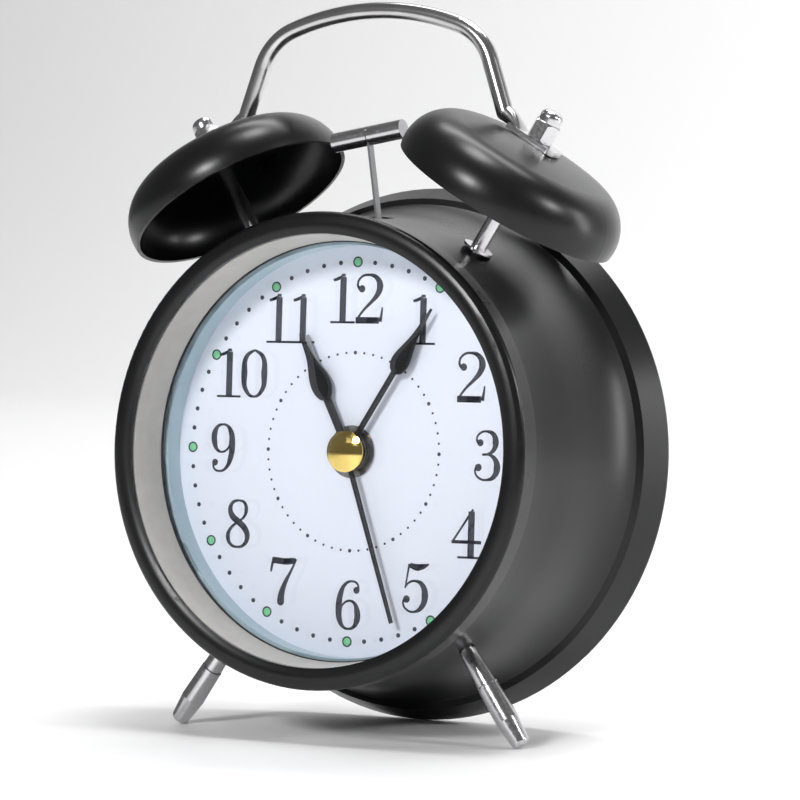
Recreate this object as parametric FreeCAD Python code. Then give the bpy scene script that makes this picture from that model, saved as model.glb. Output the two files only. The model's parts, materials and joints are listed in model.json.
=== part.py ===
import FreeCAD, Part
import os
from math import acos, atan2, cos, degrees, pi, radians, sin, sqrt, tan

# Twin bell alarm clock. Everything is drawn in the case's own frame: the case axis is +Y, pointing
# to the back, its front opening is the plane y = 0, and +Z is the case's own vertical. The last
# section leans the clock back until two feet and the rear rim stand on the floor.

# ---------------------------------------------------------------- driving dimensions (mm, degrees)
sheet = 0.9                    # steel sheet of the case and the bezel
gap = 0.2                      # loose seat between two fixed pieces
running = 0.05                 # radial running fit of a shaft in its hole
overlap = 0.1                  # sink of one solid into the next before they are made one
through = 1.0                  # how far a cutting tool stands out of what it cuts

# case and bezel
bezel_outer_r = 51.3
bezel_face = 4.8               # width of the bezel's front face
bezel_skirt = 1.3              # folded skirt that slides over the case neck
bezel_depth = 6.0
bezel_bead_y = 1.0             # depth at which the rounded front edge ends
case_step = 0.3                # case body above the neck that the bezel slides on
rim_y = 51.0                   # depth of the widest point of the rear rim
rim_roll = 1.5                 # radius of the rolled rear edge
rim_lip = 1.4                  # inward lip behind the roll
post_plane_y = 22.0            # plane of the bells, posts and handle
waist_rise = 1.5               # case body above its front edge, in the plane of the posts
shoulder_rise = 3.4            # the same, where the body turns out to the flared flange
crease_rise = 5.8
rim_rise = 9.9
flange_turn = 1.4              # height of the bend between the crease and the flange

# lens, spacer and dial
liner_wall = 0.8
liner_front_y = 1.3
liner_foot = 1.2
lens_ledge = 1.9               # lens and spacer flange beyond the spacer's wall
glass_y = 11.4
glass_thickness = 1.2
gasket_thickness = 0.6
spacer_flange = 1.5
spacer_wall = 1.9
dial_y = 17.4
dial_thickness = 0.6
dial_nut_r = 5.75
dial_nut_thickness = 0.5
neck_tube_r = 3.5              # threaded neck of the movement, through the dial
lamp_r = 0.9
lamp_length = 1.4

# bells, posts and nuts
bell_angle = 31.4              # bell axis from the vertical
bell_standoff = 12.7           # rim plane of the bells above the case
bell_belly_r = 25.8
bell_belly_height = 2.0        # widest place above the rim plane
bell_height = 13.8
bell_wall = 0.8
bell_shoulder_arc = 10.0
stud_r = 1.5
post_wall = 0.2                # post above its stud
washer_r = 3.4
washer_thickness = 0.5
nut_flats = 5.5                # across flats of every M3 nut
acorn_height = 7.0
acorn_hex_height = 4.4
acorn_dome_step = 0.2
acorn_dome_round = 1.5
plain_nut_height = 2.4
nut_chamfer = 0.5

# handle
handle_r = 1.9
handle_rise = 32.5             # crown's centreline above the rim plane of the bells
handle_shoulder_r = 13.0
handle_leg_angle = 19.0        # leg from the vertical
tab_thickness = 1.2
tab_width = 5.6
tab_inner = 10.5               # tab length towards the handle, from the stud
tab_outer = 5.5                # tab length beyond the stud
tab_round = 1.6
neck_length = 6.4              # rod end from round to flat

# feet
foot_plane_y = 18.0
foot_angle = 35.4              # foot axis from straight down
foot_length = 23.4             # foot end beyond the case's waist
foot_neck_r = 1.9
foot_neck_length = 8.4
foot_ring_r = 2.3
foot_groove = 0.35
foot_barrel_r = 2.6
foot_taper = 6.2
foot_tip_r = 2.0
foot_tip_round = 1.0

# hammer
hammer_y = 20.5
pivot_x = 6.4
pivot_z = 30.5
hammer_tilt = 9.3
head_rise = 4.9                # head's centre above the rim plane of the bells
head_r = 2.15
head_gap = 3.8                 # from the end of the head to the bell's belly
head_seam = 0.35
arm_thickness = 0.5
arm_width = 2.0
arm_socket = 3.0               # start of the arm, from the pivot
pivot_pin_r = 0.75
lever_hub_r = 2.2
lever_thickness = 1.6
crank_throw = 0.5
crank_pin_r = 0.5
crank_distance = 8.0
fork_slot = 3.4
case_slot_half = 3.2           # half the slot in the case that the arm swings in

# gears: layers, teeth, modules, and the direction of each axis from the last
gear_width = 0.7
layer = 1.1                    # distance from one gear layer to the next
first_layer_y = 19.6
mesh_clearance = 0.04
tooth_share = 0.84             # tooth thickness as a share of half the pitch
arbor_r = 0.5
minute_tube_r = 1.0
hour_tube_r = 1.6
alarm_tube_r = 2.25
setting_arbor_r = 0.8
alarm_teeth, alarm_setting_teeth = 30, 26
cannon_teeth, motion_teeth, motion_pinion_teeth, hour_teeth = 10, 30, 10, 40
setting_teeth = 10
centre_teeth, third_pinion_teeth = 64, 8
third_teeth, second_pinion_teeth = 60, 8
second_teeth, step_pinion_teeth = 48, 8
step_teeth, rotor_teeth = 40, 8
crank_teeth, motor_teeth = 36, 10
train_module = 0.4
centre_module = 0.30
alarm_arbor_angle = 40.0
motion_angle = 150.0
third_angle = 225.0
step_angle = -30.0
rotor_angle = -90.0
motor_angle = 180.0
crank_y = 24.2
rotor_magnet_r = 2.8
rotor_magnet_length = 2.0

# movement housing and what is fixed in it
housing_front_y = 18.0
housing_wall = 1.2
housing_half_width = 25.0
housing_top = 36.0
bay_clearance = 1.1            # housing above the battery bay
housing_back_y = 30.0
housing_post_r = 2.0
housing_post_inset = 3.5
housing_screw_r = 0.7
housing_screw_length = 6.0
hammer_slot_half = 2.2
motor_front_y = 26.6
motor_half_width = 6.0
motor_half_height = 5.0
motor_length = 12.0
stator_y = 27.9
stator_thickness = 0.8
stator_half_height = 4.5
stator_reach = 18.0            # length of the stator from the rotor towards the coil
stator_window = 9.0
stator_end = 2.3               # iron beyond the magnet's hole
stator_web = 2.8               # iron between the hole and the window
stator_limb = 2.5              # height of the limb under the window
coil_r = 1.6
coil_length = 8.0
board_y = 26.6
board_thickness = 0.8
board_width = 9.5
board_height = 16.0
board_left = -22.5
crystal_r = 1.0
crystal_length = 6.0
contact_leaf_thickness = 0.2
contact_leaf_length = 9.0
contact_leaf_height = 2.0
contact_leaf_rise = 0.6        # leaf above the housing's front wall
contact_leaf_z = 10.0

# rear cover and what is on it
cover_thickness = 1.6
cover_step = 0.4               # cover's front face ahead of the rim's widest point
cover_screw_inset = 9.5        # cover screws inside the rear rim
cover_screw_r = 1.2
cover_screw_length = 4.0
lug_half_width = 4.0
lug_thickness = 2.2
lug_reach = 3.0                # lug inwards of its screw
knob_r = 5.5
knob_length = 6.5
knob_standoff = 0.5
knob_flutes = 14
flute_r = 0.75
bay_half_length = 27.0
bay_height = 15.4
bay_depth = 15.4
bay_center_z = -33.0
bay_wall = 1.2
lid_thickness = 1.1
lid_overlap = 1.5
lid_ridge_half = 8.0           # half length of the finger ridges
lid_ridge_width = 0.7
lid_ridge_pitch = 2.0
lid_ridges = 4
contact_half = 5.6
contact_thickness = 0.3
contact_spring_reach = 5.0
contact_dimple_r = 2.4
contact_dimple_height = 0.8
button_x, button_z = 0.0, -9.5
button_r = 3.5
button_travel = 1.2
button_height = 2.0
button_flange = 1.0
switch_x, switch_z = 0.0, 24.0
switch_travel = 4.0
switch_half_length = 2.8
switch_half_height = 2.4
switch_stem = 1.2
switch_height = 2.4            # thumb piece above the cover
switch_groove = 0.3            # half width of each of its three grooves
switch_groove_pitch = 1.5
switch_groove_depth = 0.5

# hands, clockwise from twelve
hour_time_angle = 332.7
minute_time_angle = 32.7
second_time_angle = 161.0
alarm_time_angle = 334.8
hour_hand_length = 28.8
hour_stem = 0.87               # half width of the stem
hour_leaf_start = 13.2
hour_leaf_widest = 16.5
hour_leaf_half = 2.5           # half width of the leaf
minute_hand_length = 37.0
minute_stem = 0.65
minute_leaf_start = 20.9
minute_leaf_widest = 22.9
minute_leaf_half = 2.15
spade_boss_r = 4.2
second_hand_length = 38.8
second_hand_root = 0.65        # half width at the axis, and then at the tip
second_hand_tip = 0.45
second_boss_r = 3.6
alarm_hand_length = 27.8
alarm_hand_root = 0.7
alarm_hand_tip = 0.5
alarm_boss_r = 4.0
hand_thickness = 0.3
hand_step = 0.6                # from one hand to the next
second_hand_y = 14.3
cap_r = 4.5
cap_height = 1.2
cap_edge = 0.3

# ---------------------------------------------------------------- sizes that follow
neck_r = bezel_outer_r - bezel_skirt - gap
bezel_opening_r = bezel_outer_r - bezel_face
case_front_r = neck_r + case_step
case_waist_r = case_front_r + waist_rise
shoulder_r = case_front_r + shoulder_rise
crease_r = case_front_r + crease_rise
rim_r = case_front_r + rim_rise
shoulder_y = rim_y - 14.0
crease_y = rim_y - 7.4
glass_r = neck_r - sheet - gap
glass_edge_r = bezel_opening_r - sheet
spacer_outer_r = glass_r - lens_ledge
spacer_inner_r = spacer_outer_r - spacer_wall
dial_r = spacer_outer_r - gap
post_r = stud_r + post_wall
bell_rim_height = case_waist_r + bell_standoff
bell_lean = radians(bell_angle)
bell_inner_x = (bell_rim_height + bell_belly_height) * sin(bell_lean) - bell_belly_r * cos(bell_lean)
handle_top = bell_rim_height + handle_rise
handle_crown_r = 1.2 * case_waist_r
foot_tip_height = case_waist_r + foot_length
head_length = 2 * (bell_inner_x - head_gap)
head_distance = (bell_rim_height + head_rise - pivot_z) / cos(radians(hammer_tilt))
cover_y = rim_y - cover_step
cover_back_y = cover_y + cover_thickness
cover_screw_radius = rim_r - cover_screw_inset
hour_module = (cannon_teeth + motion_teeth) * train_module / (motion_pinion_teeth + hour_teeth)
third_module = (centre_teeth + third_pinion_teeth) * centre_module / (third_teeth + second_pinion_teeth)
bearing_front_y = housing_front_y + 0.3
bearing_back_y = housing_back_y + housing_wall - gap
minute_hand_y = second_hand_y + hand_step
hour_hand_y = minute_hand_y + hand_step
alarm_hand_y = hour_hand_y + hand_step
housing_bottom = bay_center_z + bay_height / 2 + bay_wall + bay_clearance
board_bottom = housing_bottom + housing_post_inset + housing_post_r + gap
bay_front_y = cover_back_y - bay_depth - bay_wall
battery_axis_y = bay_front_y + bay_wall + bay_depth / 2 - 0.3
lid_half_length = bay_half_length - gap

V = FreeCAD.Vector
back = V(0, 1, 0)
centre = V(0, 0, 0)


# ---------------------------------------------------------------- small shape helpers
def polar(radius, angle):
    """Point of the dial plane: angle counted from +X towards +Z."""
    return V(radius * cos(radians(angle)), 0, radius * sin(radians(angle)))


def rod(x, z, y0, y1, radius):
    return Part.makeCylinder(radius, y1 - y0, V(x, y0, z), back)


def tube(x, z, y0, y1, inner, outer):
    return rod(x, z, y0, y1, outer).cut(rod(x, z, y0 - 1, y1 + 1, inner))


def block(x0, x1, y0, y1, z0, z1):
    return Part.makeBox(x1 - x0, y1 - y0, z1 - z0, V(x0, y0, z0))


def turned_on_case(edges):
    """Solid turned about the case axis from a closed outline in the YZ plane, z as radius."""
    face = Part.Face(Part.Wire(edges))
    return face.revolve(centre, back, 360)


def chain(points):
    """Straight edges through (y, r) points, as far as the last one."""
    corners = [V(0, y, r) for y, r in points]
    return [Part.makeLine(a, b) for a, b in zip(corners, corners[1:])]


def arc(a, b, c):
    return Part.Arc(V(0, *a), V(0, *b), V(0, *c)).toShape()


def radial(shape, angle, y, side):
    """Stands a shape drawn along +Z on the case axis, tipped towards side (+1 right, -1 left)."""
    shape.rotate(centre, back, angle * side)
    shape.translate(V(0, y, 0))
    return shape


def hexagon(flats, z0, z1):
    corner = flats / sqrt(3)
    points = [V(corner * cos(radians(60 * k)), corner * sin(radians(60 * k)), z0) for k in range(7)]
    return Part.Face(Part.makePolygon(points)).extrude(V(0, 0, z1 - z0))


def group(solids):
    return Part.makeCompound(solids)


# ---------------------------------------------------------------- case shell
def case_outline(inset):
    """Outer side of the case from the front shoulder to the crease, moved inwards by inset."""
    curve = Part.BSplineCurve()
    front_y = bezel_depth + gap
    middle_y = (post_plane_y + shoulder_y) / 2
    points = [(front_y, case_front_r), ((front_y + post_plane_y) / 2, case_front_r + 0.36 * waist_rise),
              (post_plane_y, case_waist_r), (middle_y, (case_waist_r + shoulder_r) / 2 - 0.2),
              (shoulder_y, shoulder_r), (crease_y, crease_r)]
    curve.interpolate([V(0, y, r - inset) for y, r in points])
    return curve


def case_surface_r(y):
    """Outer radius of the case at depth y."""
    curve = case_outline(0)
    line = Part.makeLine(V(0, y, 0), V(0, y, 2 * rim_r))
    return curve.toShape().distToShape(line)[1][0][0].z


def case_shell():
    roll_r = rim_r - rim_roll
    in_roll = rim_roll - sheet
    flange_y = crease_y + 1.0
    flange_r = crease_r + flange_turn
    lip_r = roll_r - rim_lip
    diagonal = sqrt(0.5)
    front_y = bezel_depth + gap
    roll_y = rim_y + rim_roll
    outer_neck = chain([(bezel_bead_y, neck_r), (front_y, neck_r), (front_y, case_front_r)])
    outer_flange = chain([(crease_y, crease_r), (flange_y, flange_r), (rim_y, rim_r)])
    outer_roll = arc((rim_y, rim_r), (rim_y + rim_roll * diagonal, roll_r + rim_roll * diagonal),
                     (roll_y, roll_r))
    lip = chain([(roll_y, roll_r), (roll_y, lip_r), (rim_y + in_roll, lip_r), (rim_y + in_roll, roll_r)])
    inner_roll = arc((rim_y + in_roll, roll_r),
                     (rim_y + in_roll * diagonal, roll_r + in_roll * diagonal),
                     (rim_y, rim_r - sheet))
    inner_flange = chain([(rim_y, rim_r - sheet), (flange_y + sheet / 2, flange_r - sheet),
                          (crease_y, crease_r - sheet)])
    inner_neck = chain([(front_y, case_front_r - sheet), (front_y, neck_r - sheet),
                        (bezel_bead_y, neck_r - sheet), (bezel_bead_y, neck_r)])
    edges = outer_neck + [case_outline(0).toShape()] + outer_flange + [outer_roll] + lip
    edges += [inner_roll] + inner_flange + [case_outline(sheet).toShape()] + inner_neck
    shell = turned_on_case(Part.__sortEdges__(edges))
    for side in (1, -1):
        for angle, y in ((bell_angle, post_plane_y), (180 - foot_angle, foot_plane_y)):
            hole = Part.makeCylinder(stud_r + gap / 2, rim_r, V(0, 0, neck_r / 2))
            shell = shell.cut(radial(hole, angle, y, side))
    slot = arm_point(case_waist_r - pivot_z)
    return shell.cut(block(slot.x - case_slot_half, slot.x + case_slot_half, hammer_y - arm_width,
                           hammer_y + arm_width, neck_r - 4 * sheet, rim_r))


def front_bezel():
    """Spun front ring: a nearly flat face, a rounded outer edge and a skirt over the case neck."""
    edge_y = -0.3
    edge_r = bezel_outer_r - 1.3
    front = [arc((0.0, bezel_opening_r), (-0.55, bezel_opening_r + 1.6), (edge_y, edge_r)),
             arc((edge_y, edge_r), (0.25, bezel_outer_r - 0.4), (bezel_bead_y, bezel_outer_r))]
    skirt_r = neck_r + gap / 2
    turn_y = bezel_bead_y - gap
    rest = chain([(bezel_bead_y, bezel_outer_r), (bezel_depth, bezel_outer_r - 0.1),
                  (bezel_depth, skirt_r), (turn_y, skirt_r), (turn_y, neck_r - 0.6),
                  (sheet, bezel_opening_r), (0.0, bezel_opening_r)])
    return turned_on_case(Part.__sortEdges__(front + rest))


def bezel_liner():
    """Grey wall between the bezel and the lens, a cone with an outward foot on the lens."""
    liner_back_y = glass_y - gasket_thickness
    front_r = bezel_opening_r - 0.1
    foot_y = liner_back_y - liner_foot
    return turned_on_case(Part.__sortEdges__(chain(
        [(liner_front_y, front_r), (liner_back_y, glass_edge_r), (liner_back_y, glass_r),
         (foot_y, glass_r), (foot_y, glass_edge_r + sheet), (liner_front_y, front_r + liner_wall),
         (liner_front_y, front_r)])))


def dial_spacer():
    front_y = glass_y + glass_thickness
    ring = tube(0, 0, front_y, dial_y, spacer_inner_r, spacer_outer_r)
    return ring.fuse(tube(0, 0, front_y, front_y + spacer_flange, spacer_inner_r, glass_r))


# ---------------------------------------------------------------- bells, posts and nuts
def bell_solid(inset):
    """Domed body about +Z: a flat crown arc running into a round shoulder that ends at the rim."""
    belly = bell_belly_r - inset
    crown = bell_height - inset
    rise = crown - bell_belly_height
    shoulder = bell_shoulder_arc - inset
    shoulder_x = belly - shoulder
    crown_r = (belly ** 2 + rise ** 2 - 2 * belly * shoulder) / (2 * (rise - shoulder))
    join = atan2(shoulder_x, crown_r - rise)
    join_point = V(crown_r * sin(join), 0, crown - crown_r * (1 - cos(join)))
    rim_point = V(shoulder_x + sqrt(shoulder ** 2 - bell_belly_height ** 2), 0, 0)
    top_point = V(0, 0, crown)
    crown_mid = V(crown_r * sin(join / 2), 0, crown - crown_r * (1 - cos(join / 2)))
    shoulder_mid = V(belly, 0, bell_belly_height)
    edges = [Part.makeLine(centre, rim_point),
             Part.Arc(rim_point, shoulder_mid, join_point).toShape(),
             Part.Arc(join_point, crown_mid, top_point).toShape(),
             Part.makeLine(top_point, centre)]
    return Part.Face(Part.Wire(edges)).revolve(centre, V(0, 0, 1), 360)


def bell(side):
    shape = bell_solid(0).cut(bell_solid(bell_wall))
    shape = shape.cut(Part.makeCylinder(stud_r + gap / 2, 2 * bell_height))
    shape.translate(V(0, 0, bell_rim_height))
    return radial(shape, bell_angle, post_plane_y, side)


def bell_post(side):
    """Post under the bell with a thread at each end."""
    foot = washer_seat() + washer_thickness
    shoulder = bell_rim_height + bell_height - bell_wall - gap / 2
    inner_end = post_nut_end() - plain_nut_height - 2 * gap
    top = bell_rim_height + bell_height + tab_thickness + acorn_hex_height
    shape = Part.makeCylinder(post_r, shoulder - foot, V(0, 0, foot))
    shape = shape.fuse(Part.makeCylinder(stud_r, top - inner_end, V(0, 0, inner_end)))
    return radial(shape, bell_angle, post_plane_y, side)


def washer_seat():
    """The flat washer rests on the flared case at its rear edge."""
    return case_surface_r(post_plane_y + washer_r) + running


def post_nut_end():
    """Outer face of the nut inside the case, which touches the flare at its front edge."""
    return case_surface_r(post_plane_y - nut_flats / 2) - sheet - gap


def post_washer(side):
    base = washer_seat()
    shape = Part.makeCylinder(washer_r, washer_thickness, V(0, 0, base))
    shape = shape.cut(Part.makeCylinder(stud_r + gap / 2, 3 * through, V(0, 0, base - through)))
    return radial(shape, bell_angle, post_plane_y, side)


def plain_nut(outer_end, angle, y, side):
    """Hexagon nut inside the case; its outer face is outer_end from the case axis."""
    shape = hexagon(nut_flats, outer_end - plain_nut_height, outer_end)
    bore = Part.makeCylinder(stud_r + running, 3 * plain_nut_height,
                             V(0, 0, outer_end - 2 * plain_nut_height))
    shape = shape.cut(bore)
    return radial(shape, angle, y, side)


def acorn_nut(side):
    """Tall hexagon with both ends chamfered, and a dome on top."""
    base = bell_rim_height + bell_height + tab_thickness
    top = base + acorn_hex_height
    corner = nut_flats / sqrt(3)
    slope = 4.0
    wide = corner + slope
    narrow = corner - nut_chamfer
    lower = Part.makeCone(narrow, wide, slope + nut_chamfer, V(0, 0, base))
    upper = Part.makeCone(wide, narrow, slope + nut_chamfer, V(0, 0, top - slope - nut_chamfer))
    shape = hexagon(nut_flats, base, top)
    shape = shape.common(lower.fuse(Part.makeCylinder(wide, 2 * slope, V(0, 0, base + slope))))
    shape = shape.common(upper.fuse(Part.makeCylinder(wide, top - slope - base, V(0, 0, base))))
    dome = Part.makeCylinder(nut_flats / 2 - acorn_dome_step, acorn_height - acorn_hex_height,
                             V(0, 0, top))
    top_edges = [e for e in dome.Edges if e.BoundBox.ZMin > top + 1.0]
    shape = shape.fuse(dome.makeFillet(acorn_dome_round, top_edges))
    bore = Part.makeCylinder(stud_r + running, acorn_hex_height + gap, V(0, 0, base - gap / 2))
    return radial(shape.cut(bore), bell_angle, post_plane_y, side)


# ---------------------------------------------------------------- handle
def foot_lift():
    """Height of the rod's centreline above the tab's middle, where the rod turns into the tab."""
    return handle_r - tab_thickness / 2 + 3 * running


def handle_half(side):
    """Points on one half of the arch's centreline: end of the crown, shoulder, top and foot of the leg."""
    lean = radians(handle_leg_angle)
    tip = radians(bell_angle)
    level = bell_rim_height + bell_height + tab_thickness / 2
    foot = V(sin(tip), 0, cos(tip)) * (level + foot_lift()) - V(cos(tip), 0, -sin(tip)) * tab_inner
    leg = V(-sin(lean), 0, cos(lean))
    inward = V(-cos(lean), 0, -sin(lean))
    crown_centre = V(0, 0, handle_top - handle_crown_r)
    reach = handle_crown_r - handle_shoulder_r
    start = foot + inward * handle_shoulder_r - crown_centre
    along = -start.dot(leg) + sqrt(start.dot(leg) ** 2 - start.dot(start) + reach ** 2)
    shoulder_centre = foot + inward * handle_shoulder_r + leg * along
    leg_top = foot + leg * along
    outward = (shoulder_centre - crown_centre).normalize()
    crown_end = crown_centre + outward * handle_crown_r
    mid = ((leg_top - shoulder_centre) + (crown_end - shoulder_centre)).normalize()
    shoulder_mid = shoulder_centre + mid * handle_shoulder_r
    return [V(side * p.x, post_plane_y, p.z) for p in (crown_end, shoulder_mid, leg_top, foot)]


def handle():
    right = handle_half(1)
    left = handle_half(-1)
    top = V(0, post_plane_y, handle_top)
    edges = [Part.makeLine(left[3], left[2]), Part.Arc(left[2], left[1], left[0]).toShape(),
             Part.Arc(left[0], top, right[0]).toShape(),
             Part.Arc(right[0], right[1], right[2]).toShape(), Part.makeLine(right[2], right[3])]
    path = Part.Wire(edges)
    section = Part.Wire(Part.makeCircle(handle_r, left[3], left[2] - left[3]))
    shape = path.makePipeShell([section], True, False)
    for side in (1, -1):
        shape = shape.fuse(handle_foot(side)).removeSplitter()
    return shape


def handle_foot(side):
    """Rod end hammered flat: a ball at the bend, a narrowing neck and the drilled tab."""
    bottom = bell_rim_height + bell_height
    level = bottom + tab_thickness / 2
    tab = block(-tab_inner + handle_shoulder_r / 4, tab_outer, -tab_width / 2, tab_width / 2, bottom,
                bottom + tab_thickness)
    tab_end = [e for e in tab.Edges if abs(e.BoundBox.XMin - tab_outer) < running
               and e.BoundBox.ZLength > tab_thickness / 2]
    tab = tab.makeFillet(tab_round, tab_end)
    bend = V(-tab_inner, 0, level + foot_lift())
    ball = Part.makeSphere(handle_r, bend)
    neck = Part.makeLoft([neck_section(share, level) for share in (0, 0.45, 0.75, 1)], True, False)
    shape = tab.fuse(ball).fuse(neck)
    shape = shape.cut(Part.makeCylinder(stud_r + gap / 2, 4 * tab_thickness, V(0, 0, bottom - through)))
    if side < 0:
        shape = shape.mirror(centre, V(1, 0, 0))
    return radial(shape, bell_angle, post_plane_y, side)


def neck_section(share, level):
    """Section of the hammered end: round at the bend, and share of the way to the flat tab."""
    flatness = share ** 2
    middle = V(-tab_inner + share * neck_length, 0, level + foot_lift() * (1 - flatness))
    half_width = 0.98 * (handle_r + (tab_width / 2 - handle_r) * flatness)
    half_height = 0.98 * (handle_r + (tab_thickness / 2 - handle_r) * flatness)
    section = Part.Ellipse(middle + V(0, half_width, 0), middle + V(0, 0, half_height), middle)
    return Part.Wire(section.toShape())


# ---------------------------------------------------------------- feet
def foot_nut_end():
    return case_surface_r(foot_plane_y - nut_flats / 2) - sheet - gap


def foot(side):
    """Turned leg: tapered neck, a ring groove, a barrel and a rounded tip, drawn towards +Z."""
    base = case_surface_r(foot_plane_y + foot_neck_r) + gap / 2
    inner_end = foot_nut_end() - plain_nut_height
    ring = base + foot_neck_length
    groove_end = ring + 1.4 * foot_groove
    taper = foot_tip_height - foot_taper
    end = foot_tip_height
    tip_flat = foot_tip_r - foot_tip_round
    diagonal = foot_tip_round * sqrt(0.5)
    points = [(0, inner_end), (stud_r, inner_end), (stud_r, base), (foot_neck_r, base),
              (foot_ring_r, ring), (foot_ring_r - foot_groove, ring + gap / 2),
              (foot_ring_r - foot_groove, groove_end), (foot_ring_r + gap / 2, groove_end + gap / 2),
              (foot_barrel_r, taper),
              (foot_tip_r, end - foot_tip_round)]
    corners = [V(r, 0, z) for r, z in points]
    edges = [Part.makeLine(a, b) for a, b in zip(corners, corners[1:])]
    middle = V(tip_flat + diagonal, 0, end - foot_tip_round + diagonal)
    edges.append(Part.Arc(corners[-1], middle, V(tip_flat, 0, end)).toShape())
    edges.append(Part.makeLine(V(tip_flat, 0, end), V(0, 0, end)))
    edges.append(Part.makeLine(V(0, 0, end), corners[0]))
    shape = Part.Face(Part.Wire(edges)).revolve(centre, V(0, 0, 1), 360)
    return radial(shape, 180 - foot_angle, foot_plane_y, side)


# ---------------------------------------------------------------- hammer
def arm_point(distance):
    """Point on the hammer arm's line, counted from the pivot towards the head."""
    tilt = radians(hammer_tilt)
    return V(pivot_x - distance * sin(tilt), hammer_y, pivot_z + distance * cos(tilt))


def on_arm(shape):
    """Moves a shape drawn with the pivot at the origin and the arm along +Z onto the arm's line."""
    shape.rotate(centre, back, -hammer_tilt)
    shape.translate(V(pivot_x, 0, pivot_z))
    return shape


def hammer_head():
    half = head_length / 2
    y = hammer_y
    left = Part.makeCylinder(head_r, half, V(-half, y, head_distance), V(1, 0, 0))
    seam = Part.makeCylinder(head_r - head_seam, head_seam, V(0, y, head_distance), V(1, 0, 0))
    right = Part.makeCylinder(head_r, half - head_seam, V(head_seam, y, head_distance), V(1, 0, 0))
    shape = left.fuse(seam).fuse(right)
    slot = block(-arm_thickness / 2, arm_thickness / 2, y - arm_width / 2, y + arm_width / 2,
                 head_distance - head_r - through, head_distance)
    return on_arm(shape.cut(slot))


def hammer_arm():
    return on_arm(block(-arm_thickness / 2, arm_thickness / 2, hammer_y - arm_width / 2,
                        hammer_y + arm_width / 2, arm_socket, head_distance))


def hammer_lever():
    """Moulded hub on the pivot pin, with a socket for the arm and a fork round the crank pin."""
    y0, y1 = hammer_y - lever_thickness / 2, hammer_y + lever_thickness / 2
    boss_y0, boss_y1 = y0 - 0.3, y1 + 0.3
    socket_half = arm_thickness / 2 + 1.0
    half = fork_slot / 2 + 1.0
    hub = rod(0, 0, boss_y0, boss_y1, lever_hub_r)
    socket = block(-socket_half, socket_half, boss_y0, boss_y1, pivot_pin_r * 2, arm_socket + 2.0)
    fork = block(-half, half, y0, y1, -crank_distance - lever_hub_r, -pivot_pin_r * 2)
    slot = block(-fork_slot / 2, fork_slot / 2, y0 - through, y1 + through, -2 * crank_distance,
                 -crank_distance / 2)
    bore = rod(0, 0, boss_y0 - through, boss_y1 + through, pivot_pin_r + running)
    shape = hub.fuse(socket).fuse(fork.cut(slot)).cut(bore)
    pocket = block(-arm_thickness / 2, arm_thickness / 2, hammer_y - arm_width / 2,
                   hammer_y + arm_width / 2, arm_socket, 3 * arm_socket)
    return on_arm(shape.cut(pocket))


# ---------------------------------------------------------------- gears
def involute(angle):
    return tan(angle) - angle


def gear(x, z, layer_index, teeth, module, bore, phase):
    """Spur gear in one layer; a tooth points at phase degrees, counted from +X towards +Z."""
    pitch_r = teeth * module / 2
    pressure = radians(20)
    base_r = pitch_r * cos(pressure)
    half_at_pitch = tooth_share * pi / (2 * teeth)
    heights = (pitch_r - 1.2 * module, pitch_r - 0.35 * module, pitch_r + 0.1 * module,
               pitch_r + 0.8 * module)

    def half_angle(radius):
        rolled = acos(min(1.0, base_r / radius)) if radius > base_r else 0.0
        return half_at_pitch + involute(pressure) - involute(rolled)

    points = []
    for tooth in range(teeth):
        middle = radians(phase) + 2 * pi * tooth / teeth
        flank = [(r, half_angle(r)) for r in heights]
        points += [(r, middle - a) for r, a in flank] + [(r, middle + a) for r, a in reversed(flank)]
    y0 = layer_y(layer_index)
    corners = [V(x + r * cos(a), y0, z + r * sin(a)) for r, a in points]
    face = Part.Face(Part.makePolygon(corners + corners[:1]))
    shape = face.extrude(V(0, gear_width, 0))
    return shape.cut(rod(x, z, y0 - through, y0 + 2 * through, bore)) if bore else shape


def layer_y(index):
    return first_layer_y + index * layer


def spacing(teeth_a, teeth_b, module):
    return (teeth_a + teeth_b) * module / 2 + mesh_clearance


def facing(angle, teeth):
    """Phase that turns a tooth gap towards a neighbour seen in the direction angle."""
    return angle + 180.0 / teeth


alarm_layer, hour_layer, cannon_layer, middle_layer, third_layer, second_layer, step_layer = range(7)
alarm_arbor = polar(spacing(alarm_teeth, alarm_setting_teeth, train_module), alarm_arbor_angle)
motion_axis = polar(spacing(cannon_teeth, motion_teeth, train_module), motion_angle)
setting_axis = motion_axis + polar(spacing(motion_teeth, setting_teeth, train_module), motion_angle)
third_axis = polar(spacing(centre_teeth, third_pinion_teeth, centre_module), third_angle)
step_axis = polar(spacing(second_teeth, step_pinion_teeth, train_module), step_angle)
rotor_axis = step_axis + polar(spacing(step_teeth, rotor_teeth, train_module), rotor_angle)
crank_axis = V(pivot_x + crank_distance * sin(radians(hammer_tilt)), 0,
               pivot_z - crank_distance * cos(radians(hammer_tilt)))
motor_axis = crank_axis + polar(spacing(crank_teeth, motor_teeth, train_module), motor_angle)


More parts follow.
